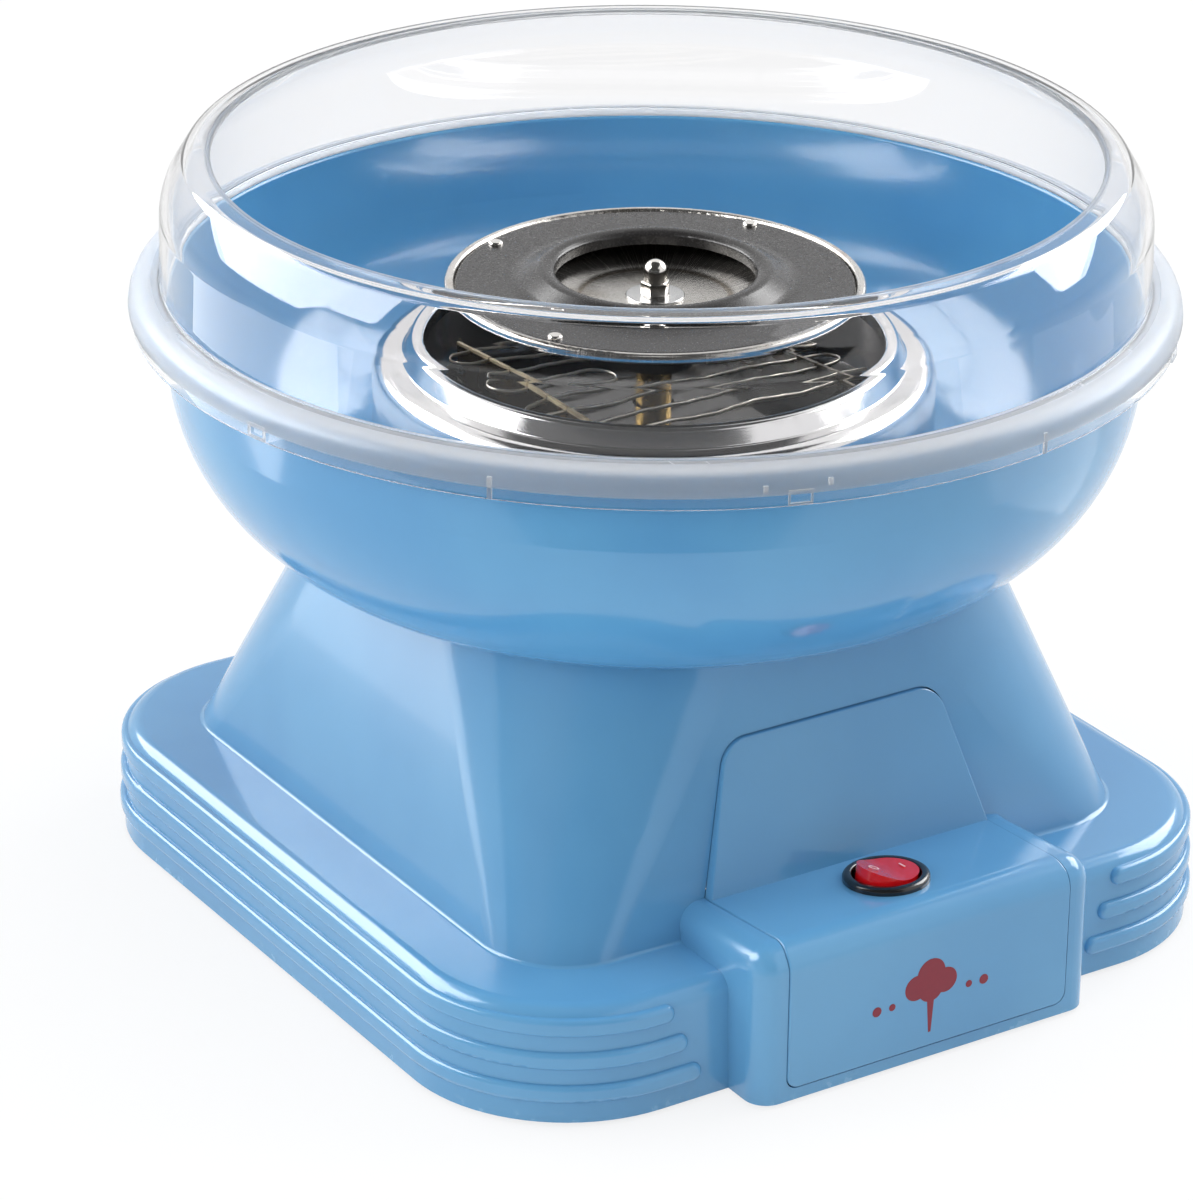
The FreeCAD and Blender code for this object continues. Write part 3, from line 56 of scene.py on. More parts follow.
def addCamera(look):
    azimuth, elevation, roll = (math.radians(look[key]) for key in ("azimuth", "elevation", "roll"))
    flat = math.cos(elevation)
    back = Vector((math.sin(azimuth) * flat, -math.cos(azimuth) * flat, math.sin(elevation)))
    right = Vector((math.cos(azimuth), math.sin(azimuth), 0))
    up = back.cross(right)
    rightTurned = right * math.cos(roll) + up * math.sin(roll)
    upTurned = up * math.cos(roll) - right * math.sin(roll)
    aim = Vector((0, 0, look["aimHeight"])) + rightTurned * look["aimAcross"] + upTurned * look["aimUp"]
    place = (aim + back * look["distance"]) * mm
    data = bpy.data.cameras.new("camera")
    data.lens = look["lens"]
    data.sensor_width = look["sensor"]
    data.sensor_fit = "AUTO"
    data.clip_start = 0.05
    data.clip_end = 30
    camera = bpy.data.objects.new("camera", data)
    scene.collection.objects.link(camera)
    turn = Matrix((rightTurned, upTurned, back)).transposed().to_4x4()
    camera.matrix_world = Matrix.Translation(place) @ turn
    scene.camera = camera


addCamera(cameraLook)
print("camera placed")


class Reading:
    # one output socket; + - * > and < on it add Math nodes
    def __init__(self, surface, socket):
        self.surface = surface
        self.socket = socket

    def combine(self, operation, other, swapped=False):
        pair = (other, self) if swapped else (self, other)
        return self.surface.add("ShaderNodeMath", {"operation": operation}, {0: pair[0], 1: pair[1]})

    def __add__(self, other):
        return self.combine("ADD", other)

    __radd__ = __add__

    def __sub__(self, other):
        return self.combine("SUBTRACT", other)

    def __rsub__(self, other):
        return self.combine("SUBTRACT", other, swapped=True)

    def __mul__(self, other):
        return self.combine("MULTIPLY", other)

    __rmul__ = __mul__

    def __gt__(self, other):
        return self.combine("GREATER_THAN", other)

    def __lt__(self, other):
        return self.combine("LESS_THAN", other)

    def power(self, other):
        return self.combine("POWER", other)

    def larger(self, other):
        return self.combine("MAXIMUM", other)


class Finish:
    # a material with one Principled shader, built up node by node
    def __init__(self, name, **constants):
        self.material = bpy.data.materials.new(name)
        self.material.use_nodes = True
        self.tree = self.material.node_tree
        self.tree.nodes.clear()
        self.output = self.tree.nodes.new("ShaderNodeOutputMaterial")
        self.shader = self.tree.nodes.new("ShaderNodeBsdfPrincipled")
        self.tree.links.new(self.shader.outputs[0], self.output.inputs[0])
        self.set(**constants)

    def feed(self, socket, value):
        if isinstance(value, Reading):
            self.tree.links.new(value.socket, socket)
        elif isinstance(value, tuple) and len(value) == 3 and socket.type == "RGBA":
            socket.default_value = (*value, 1.0)
        else:
            socket.default_value = value

    def add(self, kind, settings, inputs, output=0):
        made = self.tree.nodes.new(kind)
        for key, value in settings.items():
            setattr(made, key, value)
        for key, value in inputs.items():
            self.feed(made.inputs[key], value)
        return Reading(self, made.outputs[output])

    def place(self):
        return self.add("ShaderNodeTexCoord", {}, {}, output="Object")

    def axis(self, name):
        return self.add("ShaderNodeSeparateXYZ", {}, {0: self.place()}, output=name)

    def noise(self, scale, detail=2.0, stretch=None):
        place = self.place()
        if stretch:
            place = self.add("ShaderNodeMapping", {}, {"Vector": place, "Scale": stretch})
        return self.add("ShaderNodeTexNoise", {}, {"Vector": place, "Scale": scale, "Detail": detail})

    def lines(self, along, detail=2.0):
        return self.add("ShaderNodeTexNoise", {"noise_dimensions": "1D"}, {"W": along, "Detail": detail})

    def ramp(self, reading, low, high, fromValue=0.0, toValue=1.0, kind="SMOOTHSTEP"):
        return self.add(
            "ShaderNodeMapRange",
            {"interpolation_type": kind},
            {"Value": reading, "From Min": low, "From Max": high, "To Min": fromValue, "To Max": toValue},
        )

    def blend(self, factor, first, second):
        inputs = {"Factor": factor, "A": first, "B": second}
        return self.add("ShaderNodeMix", {"data_type": "RGBA"}, inputs, output=2)

    def radius(self):
        x, y = self.axis("X"), self.axis("Y")
        return (x * x + y * y).power(0.5)

    def set(self, **inputs):
        for key, value in inputs.items():
            self.feed(self.shader.inputs[key.replace("_", " ")], value)
        return self

    def bump(self, height, distance, strength=1.0):
        inputs = {"Height": height, "Distance": distance, "Strength": strength}
        return self.set(Normal=self.add("ShaderNodeBump", {}, inputs))

    def over(self, factor, kind, inputs):
        # lays another shader over the ones so far by factor
        second = self.add(kind, {}, inputs)
        mix = self.tree.nodes.new("ShaderNodeMixShader")
        self.feed(mix.inputs[0], factor)
        self.tree.links.new(self.output.inputs[0].links[0].from_socket, mix.inputs[1])
        self.tree.links.new(second.socket, mix.inputs[2])
        self.tree.links.new(mix.outputs[0], self.output.inputs[0])


def linear(red, green, blue):
    # the linear colour of an sRGB one, 0 to 255
    return tuple(((part / 255 + 0.055) / 1.055) ** 2.4 for part in (red, green, blue))


def scaled(colour, share, added=0.0):
    return tuple(part * share + added for part in colour)


plasticLook = {
    "shade": linear(101, 162, 205),
    "deep": linear(94, 155, 200),
    "scuff": linear(140, 188, 218),
    "roughness": 0.17,
    "rubbed": 0.025,        # how much rougher the wiped patches are
    "scuffed": 0.2,         # how much rougher the scuffs are
    "coat": 0.25,
    "scuffTop": 0.005,      # the scuffs grow from here down to the full height below
    "scuffFull": 0.0012,
}
bowlLook = dict(plasticLook, shade=linear(96, 162, 208), deep=linear(89, 154, 203), roughness=0.14)


def glossPlastic(name, look):
    finish = Finish(name, IOR=1.5, Coat_Roughness=0.05)
    clouds = finish.ramp(finish.noise(14.0, 3.0), 0.35, 0.65)
    fine = finish.noise(900.0, 2.0)
    rubbed = finish.ramp(finish.noise(60.0, 4.0, (1.0, 14.0, 6.0)), 0.62, 0.74)
    edge = finish.ramp(finish.axis("Z"), look["scuffTop"], look["scuffFull"])
    scuffed = edge * finish.ramp(finish.noise(220.0, 4.0), 0.55, 0.68)
    colour = finish.blend(clouds, look["shade"], look["deep"])
    finish.set(
        Base_Color=finish.blend(scuffed * 0.35, colour, look["scuff"]),
        Roughness=look["roughness"] + fine * 0.01 + rubbed * look["rubbed"] + scuffed * look["scuffed"],
        Coat_Weight=look["coat"],
    )
    finish.bump(finish.noise(40.0, 2.0), 0.00002, 0.3)
    return finish.material


guardLook = {
    "clear": (0.958, 0.957, 0.964),
    "roughness": 0.012,
    "milk": (0.93, 0.945, 0.96),    # light through the milky places
    "body": (0.93, 0.935, 0.95),    # light they throw back
    "frost": 0.18,          # how milky the bead is
    "crown": 0.4,           # how much milkier its upper side is
    "frostBody": 0.1,       # the share of the bead that throws light back
    "crownBody": 0.26,
    "frostRoughness": 0.3,
    "haze": 0.006,          # milkiness of the clear wall
    "beadLow": 0.1697,
    "beadHigh": 0.1765,
    "fadeUnder": 0.0001,    # the frost fades over these lengths at the bead's lower and upper ends
    "fadeOver": 0.0003,
    "crownLow": 0.1743,
    "crownFade": 0.0016,
    "rimRadius": 0.1192,
    "rimFade": 0.001,
    "rimHeight": 0.2062,
    "rimMilk": 0.45,
}


def clearPlastic(name, look):
    finish = Finish(name, IOR=1.46, Transmission_Weight=1.0, Base_Color=look["clear"])
    smudges = finish.ramp(finish.noise(22.0, 4.0), 0.45, 0.75)
    scratches = finish.ramp(finish.noise(50.0, 5.0, (9.0, 1.0, 3.0)), 0.66, 0.74)
    height = finish.axis("Z")
    low, high = look["beadLow"], look["beadHigh"]
    below = finish.ramp(height, high + look["fadeOver"], high - look["fadeUnder"])
    bead = finish.ramp(height, low - look["fadeUnder"], low + look["fadeOver"]) * below
    crown = finish.ramp(height, look["crownLow"], look["crownLow"] + look["crownFade"]) * below
    inward = finish.ramp(finish.radius(), look["rimRadius"], look["rimRadius"] - look["rimFade"])
    rim = inward * (height > look["rimHeight"])
    worn = smudges * 0.01 + scratches * 0.015
    finish.set(Roughness=look["roughness"] + worn + bead * look["frostRoughness"] + rim * 0.1)
    finish.bump(finish.noise(18.0, 2.0), 0.0001, 0.08)
    milk = bead * look["frost"] + crown * look["crown"] + rim * look["rimMilk"]
    milk = milk + scratches * 0.015 + look["haze"]
    finish.over(milk, "ShaderNodeBsdfTranslucent", {"Color": look["milk"]})
    body = bead * look["frostBody"] + crown * look["crownBody"]
    finish.over(body, "ShaderNodeBsdfDiffuse", {"Color": look["body"]})
    return finish.material


def polishedMetal(name, colour, dark, roughness, rings=2200.0):
    finish = Finish(name, Metallic=1.0)
    turned = finish.lines(finish.radius() * rings)
    spots = finish.ramp(finish.noise(120.0, 5.0), 0.55, 0.75)
    scratches = finish.ramp(finish.noise(40.0, 6.0, (1.0, 10.0, 1.0)), 0.66, 0.72)
    finish.set(
        Base_Color=finish.blend(spots * 0.35 + scratches * 0.15, colour, dark),
        Roughness=roughness + turned * 0.04 + spots * 0.06 + scratches * 0.05,
    )
    finish.bump(turned, 0.00002, 0.25)
    return finish.material


def plainMetal(name, colour, roughness, grain=400.0, wear=0.4):
    finish = Finish(name, Metallic=1.0)
    mottled = finish.noise(grain, 3.0)
    worn = finish.ramp(finish.noise(90.0, 4.0), 0.5, 0.7)
    finish.set(
        Base_Color=finish.blend(worn * wear, colour, scaled(colour, 0.7)),
        Roughness=roughness + mottled * wear * 0.3,
    )
    finish.bump(mottled, 0.00003, 0.4)
    return finish.material


cupLook = {
    "steel": (0.66, 0.64, 0.61),
    "stainAndShade": (0.42, 0.36, 0.29),
    "underShade": (0.035, 0.032, 0.03),   # painted shade: the side over the hot wires, painted near black
    "slopeFrom": 0.0215,
    "slopeTo": 0.037,
    "splitLow": 0.1681,
    "splitHigh": 0.1713,
    "rim": 0.0534,
    "ring": 0.0203,                  # where the floor meets the slope, a ring of painted shade in the crease
    "creaseShadeHalf": 0.0016,
    "stainShare": 0.4,
    "creaseShadeShare": 0.85,
    "lineRate": 90.0,                # brushed lines round the cup, per radian
}


def brushedCup(look):
    finish = Finish("brushed cup", Metallic=1.0)
    angle = finish.axis("Y").combine("ARCTAN2", finish.axis("X"))
    lines = finish.lines(angle * look["lineRate"], 4.0)
    stains = finish.ramp(finish.noise(70.0, 4.0), 0.5, 0.72)
    radius = finish.radius()
    split = finish.ramp(
        radius, look["slopeFrom"], look["slopeTo"], look["splitLow"], look["splitHigh"], kind="LINEAR",
    )
    inside = (finish.axis("Z") > split).larger(radius > look["rim"])
    creaseShadeInner = finish.ramp(radius, look["ring"] - look["creaseShadeHalf"], look["ring"])
    creaseShadeOuter = finish.ramp(radius, look["ring"] + look["creaseShadeHalf"], look["ring"])
    # real stains, and the painted shade ring in the crease, both in the stain colour
    stainedAndShaded = (stains * look["stainShare"]).larger(creaseShadeInner * creaseShadeOuter * look["creaseShadeShare"])
    steel = finish.blend(stainedAndShaded, look["steel"], look["stainAndShade"])
    # the underside takes the painted shade colour, the inside the steel
    finish.set(
        Base_Color=finish.blend(inside, look["underShade"], steel),
        Roughness=0.16 + lines * 0.16,
    )
    finish.bump(lines, 0.00005, 0.4)
    return finish.material


def satinPaint(name, colour, roughness, coat=0.0):
    finish = Finish(name, Coat_Roughness=0.12)
    grain = finish.noise(1400.0, 2.0)
    worn = finish.ramp(finish.noise(45.0, 5.0), 0.55, 0.75)
    finish.set(
        Base_Color=finish.blend(worn * 0.5, colour, scaled(colour, 1.6, 0.004)),
        Roughness=roughness + grain * 0.06 + worn * 0.06,
        Coat_Weight=coat,
    )
    finish.bump(grain, 0.00002, 0.4)
    return finish.material


micaLook = {
    "sheet": linear(74, 60, 40),
    "flake": linear(38, 30, 21),
    "flakes": (300.0, 90.0, 160.0),  # flakes per metre along each axis
    "cut": linear(252, 234, 196),    # painted highlight on the upper edge
    "cutFrom": 0.1482,
    "cutFade": 0.0006,
    "rightHighlightShare": 0.2,               # how much of that painted highlight the right strip's edge has, as it lies in shade
}


def micaSheet(look):
    finish = Finish("mica", IOR=1.56)
    place = finish.place()
    flakes = finish.add("ShaderNodeMapping", {}, {"Vector": place, "Scale": look["flakes"]})
    cells = finish.add("ShaderNodeTexVoronoi", {"feature": "F1"}, {"Vector": flakes, "Scale": 1.0}, "Color")
    tone = finish.add("ShaderNodeSeparateColor", {}, {0: cells})
    # painted light: the left strip's upper edge is painted lit, the right one's mostly shaded
    bright = look["rightHighlightShare"] + (finish.axis("X") < 0.0) * (1.0 - look["rightHighlightShare"])
    edge = finish.ramp(finish.axis("Z"), look["cutFrom"], look["cutFrom"] + look["cutFade"]) * bright
    sheet = finish.blend(tone, look["sheet"], look["flake"])
    finish.set(
        Base_Color=finish.blend(edge * (0.7 + tone * 0.3), sheet, look["cut"]),
        Roughness=0.12 + tone * 0.2 + edge * 0.2,
        Metallic=edge * 0.2,
    )
    finish.bump(tone, 0.00015, 0.6)
    return finish.material


def mattePlastic(name, colour, roughness, grain=700.0):
    finish = Finish(name)
    speck = finish.noise(grain, 3.0)
    finish.set(
        Base_Color=finish.blend(speck * 0.35, colour, scaled(colour, 1.5, 0.01)),
        Roughness=roughness + speck * 0.15,
    )
    finish.bump(speck, 0.00004, 0.4)
    return finish.material


housingPlastic = glossPlastic("blue housing", plasticLook)
bowlPlastic = glossPlastic("blue bowl", bowlLook)
guardPlastic = clearPlastic("clear guard", guardLook)
outlinePlastic = clearPlastic("guard outlines", dict(guardLook, haze=0.4))
blackGloss = satinPaint("black switch plastic", (0.012, 0.012, 0.013), 0.2, 0.4)
discPaint = satinPaint("black disc", (0.018, 0.017, 0.017), 0.24)
redPlastic = satinPaint("red rocker", linear(222, 20, 28), 0.16, 0.5)
screwSteel = plainMetal("plated screw", (0.62, 0.6, 0.56), 0.3)
motorSteel = plainMetal("plated sheet", (0.5, 0.5, 0.5), 0.35)
shaftSteel = plainMetal("ground steel", (0.6, 0.6, 0.6), 0.18)
alloy = plainMetal("heating alloy", (0.86, 0.81, 0.72), 0.3)
brightSteel = plainMetal("bright steel", (0.82, 0.79, 0.75), 0.12, 700.0, 0.12)
panMetal = polishedMetal("pan sheet", (0.84, 0.83, 0.83), (0.6, 0.58, 0.57), 0.1, 900.0)
# the plate's metal colour is kept near black: painted shade under the head
plateMetal = polishedMetal("plate under the wires", (0.05, 0.048, 0.045), (0.03, 0.026, 0.022), 0.04, 900.0)
nodeFinishes = {
    housingPlastic: ["housing", "bottom_plate", "control_cover"],
    bowlPlastic: ["bowl"],
    guardPlastic: ["splash_guard"],
    mattePlastic("foot rubber", (0.02, 0.02, 0.02), 0.7): ["rubber_feet"],
    blackGloss: ["switch_body", "cord_bush", "brush_holders", "cooling_fan"],
    redPlastic: ["switch_rocker"],
    plainMetal("tinned brass", (0.7, 0.66, 0.55), 0.25): ["switch_terminals"],
    panMetal: ["pan"],
    plateMetal: ["heater_plate"],
    motorSteel: ["heat_shield", "motor_bracket", "motor_case", "motor_end_cap"],
    mattePlastic("ceramic", (0.7, 0.67, 0.6), 0.35): ["lower_spacers", "upper_spacers"],
    mattePlastic("cutout case", (0.05, 0.04, 0.035), 0.5): ["thermal_cutout"],
    alloy: ["heating_ribbon"],
    micaSheet(micaLook): ["mica_strip_left", "mica_strip_right"],
    plainMetal("sintered bronze", (0.5, 0.33, 0.17), 0.4): ["lower_bearing", "upper_bearing"],
    mattePlastic("ferrite", (0.03, 0.03, 0.03), 0.55): ["field_magnets"],
    mattePlastic("carbon", (0.02, 0.02, 0.02), 0.45): ["carbon_brushes"],
    screwSteel: ["base_screws", "cover_screws", "pan_screws", "bracket_screws", "motor_screws"],
    shaftSteel: ["motor_shaft", "armature_core", "washer"],
    plainMetal("copper wire", (0.7, 0.32, 0.16), 0.3): ["armature_windings", "commutator"],
    plainMetal("turned brass", (0.72, 0.48, 0.16), 0.2): ["drive_sleeve"],
    brushedCup(cupLook): ["head_cup"],
    discPaint: ["head_disc"],
    brightSteel: ["cap_nut", "head_rivets"],
}
for material, names in nodeFinishes.items():
    for name in names:
        for slot in nodes[name].material_slots:
            slot.material = material
print("finishes given")


def finishPiece(work, name, material, body, replaced=(), sharpFrom=40.0):
    # cleans the mesh, shades it and hands it to its body
    bmesh.ops.remove_doubles(work, verts=work.verts[:], dist=1e-7)
    bmesh.ops.recalc_face_normals(work, faces=work.faces[:])
    for face in work.faces:
        face.smooth = True
    for edge in work.edges:
        if len(edge.link_faces) == 2 and edge.calc_face_angle(0.0) > math.radians(sharpFrom):
            edge.smooth = False
    mesh = bpy.data.meshes.new(name)
    work.to_mesh(mesh)
    work.free()
    mesh.materials.append(material)
    piece = bpy.data.objects.new(name, mesh)
    scene.collection.objects.link(piece)
    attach(piece, body)
    if replaced:
        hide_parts(*replaced)
    return piece


def outline(work, corners, segments=6):
    # a closed wire in the XZ plane, in mm, with its corners bevelled round
    points = [Vector((corner[0], 0, corner[1])) * mm for corner in corners]
    verts = [work.verts.new(point) for point in points]
    for index in range(len(verts)):
        work.edges.new((verts[index - 1], verts[index]))
    for index, corner in enumerate(corners):
        if len(corner) < 3:
            continue
        before = points[index - 1] - points[index]
        after = points[(index + 1) % len(points)] - points[index]
        reach = corner[2] * mm / math.tan(before.angle(after) / 2)
        bmesh.ops.bevel(
            work, geom=[verts[index]], offset=reach, offset_type="OFFSET", affect="VERTICES",
            segments=segments, profile=0.5, material=-1,
        )


def bevelEdges(work, width, segments):
    # rounds every edge so far by a width in mm
    bmesh.ops.bevel(
        work, geom=work.edges[:], offset=width * mm, affect="EDGES", segments=segments, profile=0.5,
        material=-1,
    )


def spinRound(work, steps):
    # sweeps everything so far once round the Z axis
    bmesh.ops.spin(
        work, geom=work.verts[:] + work.edges[:], cent=(0, 0, 0), axis=(0, 0, 1), dvec=(0, 0, 0),
        angle=2 * math.pi, steps=steps, use_merge=True, use_normal_flip=False, use_duplicate=False,
    )


def spun(work, corners, steps, segments=6):
    outline(work, corners, segments)
    spinRound(work, steps)


guardShape = {
    "steps": 192,
    "corners": [   # radius, height, rounding
        (139.2, 166.3, 0.4), (139.2, 169.7), (139.9, 169.8, 0.3), (139.9, 176.5, 6.2), (131.6, 176.5, 0.5),
        (131.0, 199.0, 16.0), (124.0, 210.2, 4.0), (117.3, 210.7, 0.7),
        (117.3, 208.9, 0.7), (122.9, 208.3, 2.4), (129.0, 198.4, 14.0), (129.6, 174.5, 0.3),
        (138.0, 174.5, 4.2), (138.0, 169.6), (137.6, 166.3, 0.4),
    ],
}


def addGuard(shape):
    work = bmesh.new()
    spun(work, shape["corners"], shape["steps"])
    finishPiece(work, "guard_moulding", guardPlastic, "guard", ["splash_guard"], 50.0)


addGuard(guardShape)
print("guard moulded")


panShape = {
    "steps": 160,
    "corners": [   # radius, height, rounding
        (60.0, 99.2), (75.7, 99.2), (75.7, 152.4, 4.5), (67.6, 152.4, 0.8), (65.0, 157.4, 1.7),
        (61.5, 157.4, 1.6), (61.5, 153.0), (62.5, 153.0), (62.5, 156.4, 0.7), (64.4, 156.4, 0.7),
        (67.0, 151.4, 1.6), (74.7, 151.4, 3.5), (74.7, 100.2), (60.0, 100.2),
    ],
}


def addPan(shape):
    work = bmesh.new()
    spun(work, shape["corners"], shape["steps"], segments=8)
    finishPiece(work, "pan_spinning", panMetal, "base", ["pan"], 50.0)


addPan(panShape)
print("pan spun")


clipShape = {
    "angles": (-168.3, -108.5, -48.5, 11.5, 71.5, 131.5),
    "radius": 139.38,
    "middle": 169.05,
    "width": 6.2,
    "height": 3.9,
    "frame": 0.7,
    "proud": 0.58,
}
ribShape = {
    "ribs": [   # angle, lower end, upper end
        (-139.8, 166.8, 172.8), (-112.1, 170.5, 172.6), (-105.4, 171.4, 173.4), (-79.3, 166.8, 172.4),
        (40.0, 166.8, 172.8),
    ],
    "radius": 139.4,
    "width": 1.3,
    "proud": 0.56,
    "edge": 0.12,
}


def standOut(work, geom, angle, radius, middle):
    # from lying on the XY plane to standing on the lip at an angle
    turn = Matrix.Rotation(math.radians(angle + 90), 4, "Z") @ Matrix.Rotation(math.radians(90), 4, "X")
    flat = math.radians(angle)
    place = Vector((radius * math.cos(flat), radius * math.sin(flat), middle)) * mm
    bmesh.ops.transform(work, matrix=Matrix.Translation(place) @ turn, verts=geom)


def addClips(look):
    work = bmesh.new()
    for angle in look["angles"]:
        made = bmesh.ops.create_grid(work, x_segments=1, y_segments=1, size=0.5)["verts"]
        bmesh.ops.scale(work, vec=(look["width"] * mm, look["height"] * mm, 1), verts=made)
        face = made[0].link_faces[0]
        bmesh.ops.inset_region(work, faces=[face], thickness=look["frame"] * mm, use_boundary=True)
        bmesh.ops.delete(work, geom=[face], context="FACES_ONLY")
        ring = [part for part in work.faces if any(vert in made for vert in part.verts)]
        raised = bmesh.ops.extrude_face_region(work, geom=ring)["geom"]
        top = [part for part in raised if isinstance(part, bmesh.types.BMVert)]
        bmesh.ops.translate(work, vec=(0, 0, look["proud"] * mm), verts=top)
        bottom = list({vert for part in ring if part.is_valid for vert in part.verts})
        whole = list(set(top + bottom + made))
        standOut(work, [vert for vert in whole if vert.is_valid], angle, look["radius"], look["middle"])
    finishPiece(work, "guard_clip_windows", outlinePlastic, "guard", sharpFrom=30.0)


def addRibs(look):
    work = bmesh.new()
    for angle, low, high in look["ribs"]:
        made = bmesh.ops.create_cube(work, size=1.0)["verts"]
        bmesh.ops.scale(work, vec=(look["width"] * mm, (high - low) * mm, look["proud"] * mm), verts=made)
        standOut(work, made, angle, look["radius"] + look["proud"] / 2, (low + high) / 2)
    bevelEdges(work, look["edge"], 2)
    finishPiece(work, "guard_ribs", outlinePlastic, "guard", sharpFrom=30.0)


addClips(clipShape)
addRibs(ribShape)
print("clip windows and ribs set on the lip")


ribbonShape = {
    "pitch": 9.8,
    "rows": 8,
    "low": 147.2,
    "width": 1.15,
    "thickness": 0.22,
    "end": 45.9,
    "hub": 13.0,
    "waves": ((0.34, 0.23, 0.0), (0.18, 0.71, 1.7), (0.08, 1.9, 0.4)),   # reach, radians per mm, phase
    "lift": (0.35, 0.21, 1.9),   # rise and fall, radians per mm, how far a shift moves it on
    "branchShift": 2.3,          # how far the branch's waves are out of step
    "step": 1.2,
}


def ribbonPath(points, look, shift):
    # the runs between points in steps, wavering off their line
    path = []
    for start, end in zip(points, points[1:]):
        run = Vector(end) - Vector(start)
        count = max(1, round(run.length / look["step"]))
        for step in range(count):
            path.append(Vector(start) + run * (step / count))
    path.append(Vector(points[-1]))
    wavering = []
    along = 0.0
    rise, rate, moved = look["lift"]
    for index, point in enumerate(path):
        if index:
            along += (point - path[index - 1]).length
        off = sum(size * math.sin(along * turn + phase + shift) for size, turn, phase in look["waves"])
        lift = rise * math.sin(along * rate + shift * moved)
        wavering.append(Vector((point.x, point.y + off, look["low"] + rise + lift)))
    return wavering


def turnBack(x, y, pitch, side, steps=8):
    # half a circle from the run at y to the run a pitch further
    half = pitch / 2
    middle = Vector((x - side * half, y + half))
    bend = []
    for part in range(steps + 1):
        angle = math.pi * part / steps
        bend.append((middle.x + side * half * math.sin(angle), middle.y - half * math.cos(angle)))
    return bend


def ribbonCourse(look):
    # the main run back and forth with a hairpin left of the head, and the branch with one on its right
    pitch, end, hub = look["pitch"], look["end"], look["hub"]
    rows = [(row - (look["rows"] - 1) / 2) * pitch for row in range(look["rows"])]
    left = [turnBack(-end, row, pitch, -1) for row in rows]
    right = [turnBack(end, row, pitch, 1) for row in rows]
    main = [(end, rows[0])] + left[0] + right[1] + left[2] + turnBack(-hub, rows[3], pitch, 1)
    main += left[4] + right[5] + left[6] + [(end, rows[7])]
    branch = right[2][::-1][:5] + turnBack(hub, rows[3], pitch, -1) + right[4][:5]
    return main, branch


def addRibbon(look):
    work = bmesh.new()
    for index, points in enumerate(ribbonCourse(look)):
        path = ribbonPath(points, look, index * look["branchShift"])
        low = work.verts.new(path[0] * mm)
        high = work.verts.new((path[0] + Vector((0, 0, look["width"]))) * mm)
        edge = work.edges.new((low, high))
        for before, after in zip(path, path[1:]):
            grown = bmesh.ops.extrude_edge_only(work, edges=[edge])["geom"]
            ends = [part for part in grown if isinstance(part, bmesh.types.BMVert)]
            bmesh.ops.translate(work, vec=(after - before) * mm, verts=ends)
            edge = next(part for part in grown if isinstance(part, bmesh.types.BMEdge))
    piece = finishPiece(work, "wound_ribbon", alloy, "base", ["heating_ribbon"], 60.0)
    wall = piece.modifiers.new("thickness", "SOLIDIFY")
    wall.thickness = look["thickness"] * mm
    wall.offset = 0.0


addRibbon(ribbonShape)
print("ribbon wound")


nutShape = {
    "acrossCorners": 8.08,
    "turn": 10.0,
    "bottom": 169.3,
    "top": 173.0,
    "domeTop": 178.9,
    "dome": 3.25,
    "edge": 0.35,
}


def addNut(look):
    work = bmesh.new()
    corner = look["acrossCorners"] / 2 * mm
    depth = (look["top"] - look["bottom"]) * mm
    made = bmesh.ops.create_cone(
        work, cap_ends=True, segments=6, radius1=corner, radius2=corner, depth=depth,
    )["verts"]
    middle = (look["top"] + look["bottom"]) / 2
    turn = Matrix.Rotation(math.radians(look["turn"]), 3, "Z")
    bmesh.ops.rotate(work, cent=(0, 0, 0), matrix=turn, verts=made)
    bmesh.ops.translate(work, vec=(0, 0, middle * mm), verts=made)
    bevelEdges(work, look["edge"], 3)
    dome = bmesh.ops.create_uvsphere(work, u_segments=40, v_segments=28, radius=look["dome"] * mm)["verts"]
    for vert in dome:
        if vert.co.z < 0 and vert.co.xy.length > 1e-6:   # straight sides below the dome
            vert.co.xy = vert.co.xy.normalized() * look["dome"] * mm
    bmesh.ops.translate(work, vec=(0, 0, (look["domeTop"] - look["dome"]) * mm), verts=dome)
    finishPiece(work, "domed_nut", brightSteel, "head", ["cap_nut"], sharpFrom=50.0)


addNut(nutShape)
print("nut shaped")


switchPlace = {
    "middle": (0, -113.0, 44.1),
    "slope": -4.4,         # of the cover's top, in degrees
    "tilt": 10.0,          # of the rocker at rest
}
slopeTurn = Matrix.Rotation(math.radians(switchPlace["slope"]), 4, "X")
tiltTurn = Matrix.Rotation(math.radians(switchPlace["tilt"]), 4, "Y")
rockerFrame = Matrix.Translation(Vector(switchPlace["middle"]) * mm) @ slopeTurn @ tiltTurn
markShape = {
    "offset": 4.6,         # from the rocker's middle, across
    "valley": 2.2,         # height where the rocker's two faces would meet
    "lift": 0.35,          # how far the marks stand over the faces
    "slope": 10.0,
    "ring": 1.25,
    "ringSteps": 32,
    "line": 0.42,
    "barLength": 2.6,
    "height": 0.12,
    "ink": linear(243, 196, 196),
}


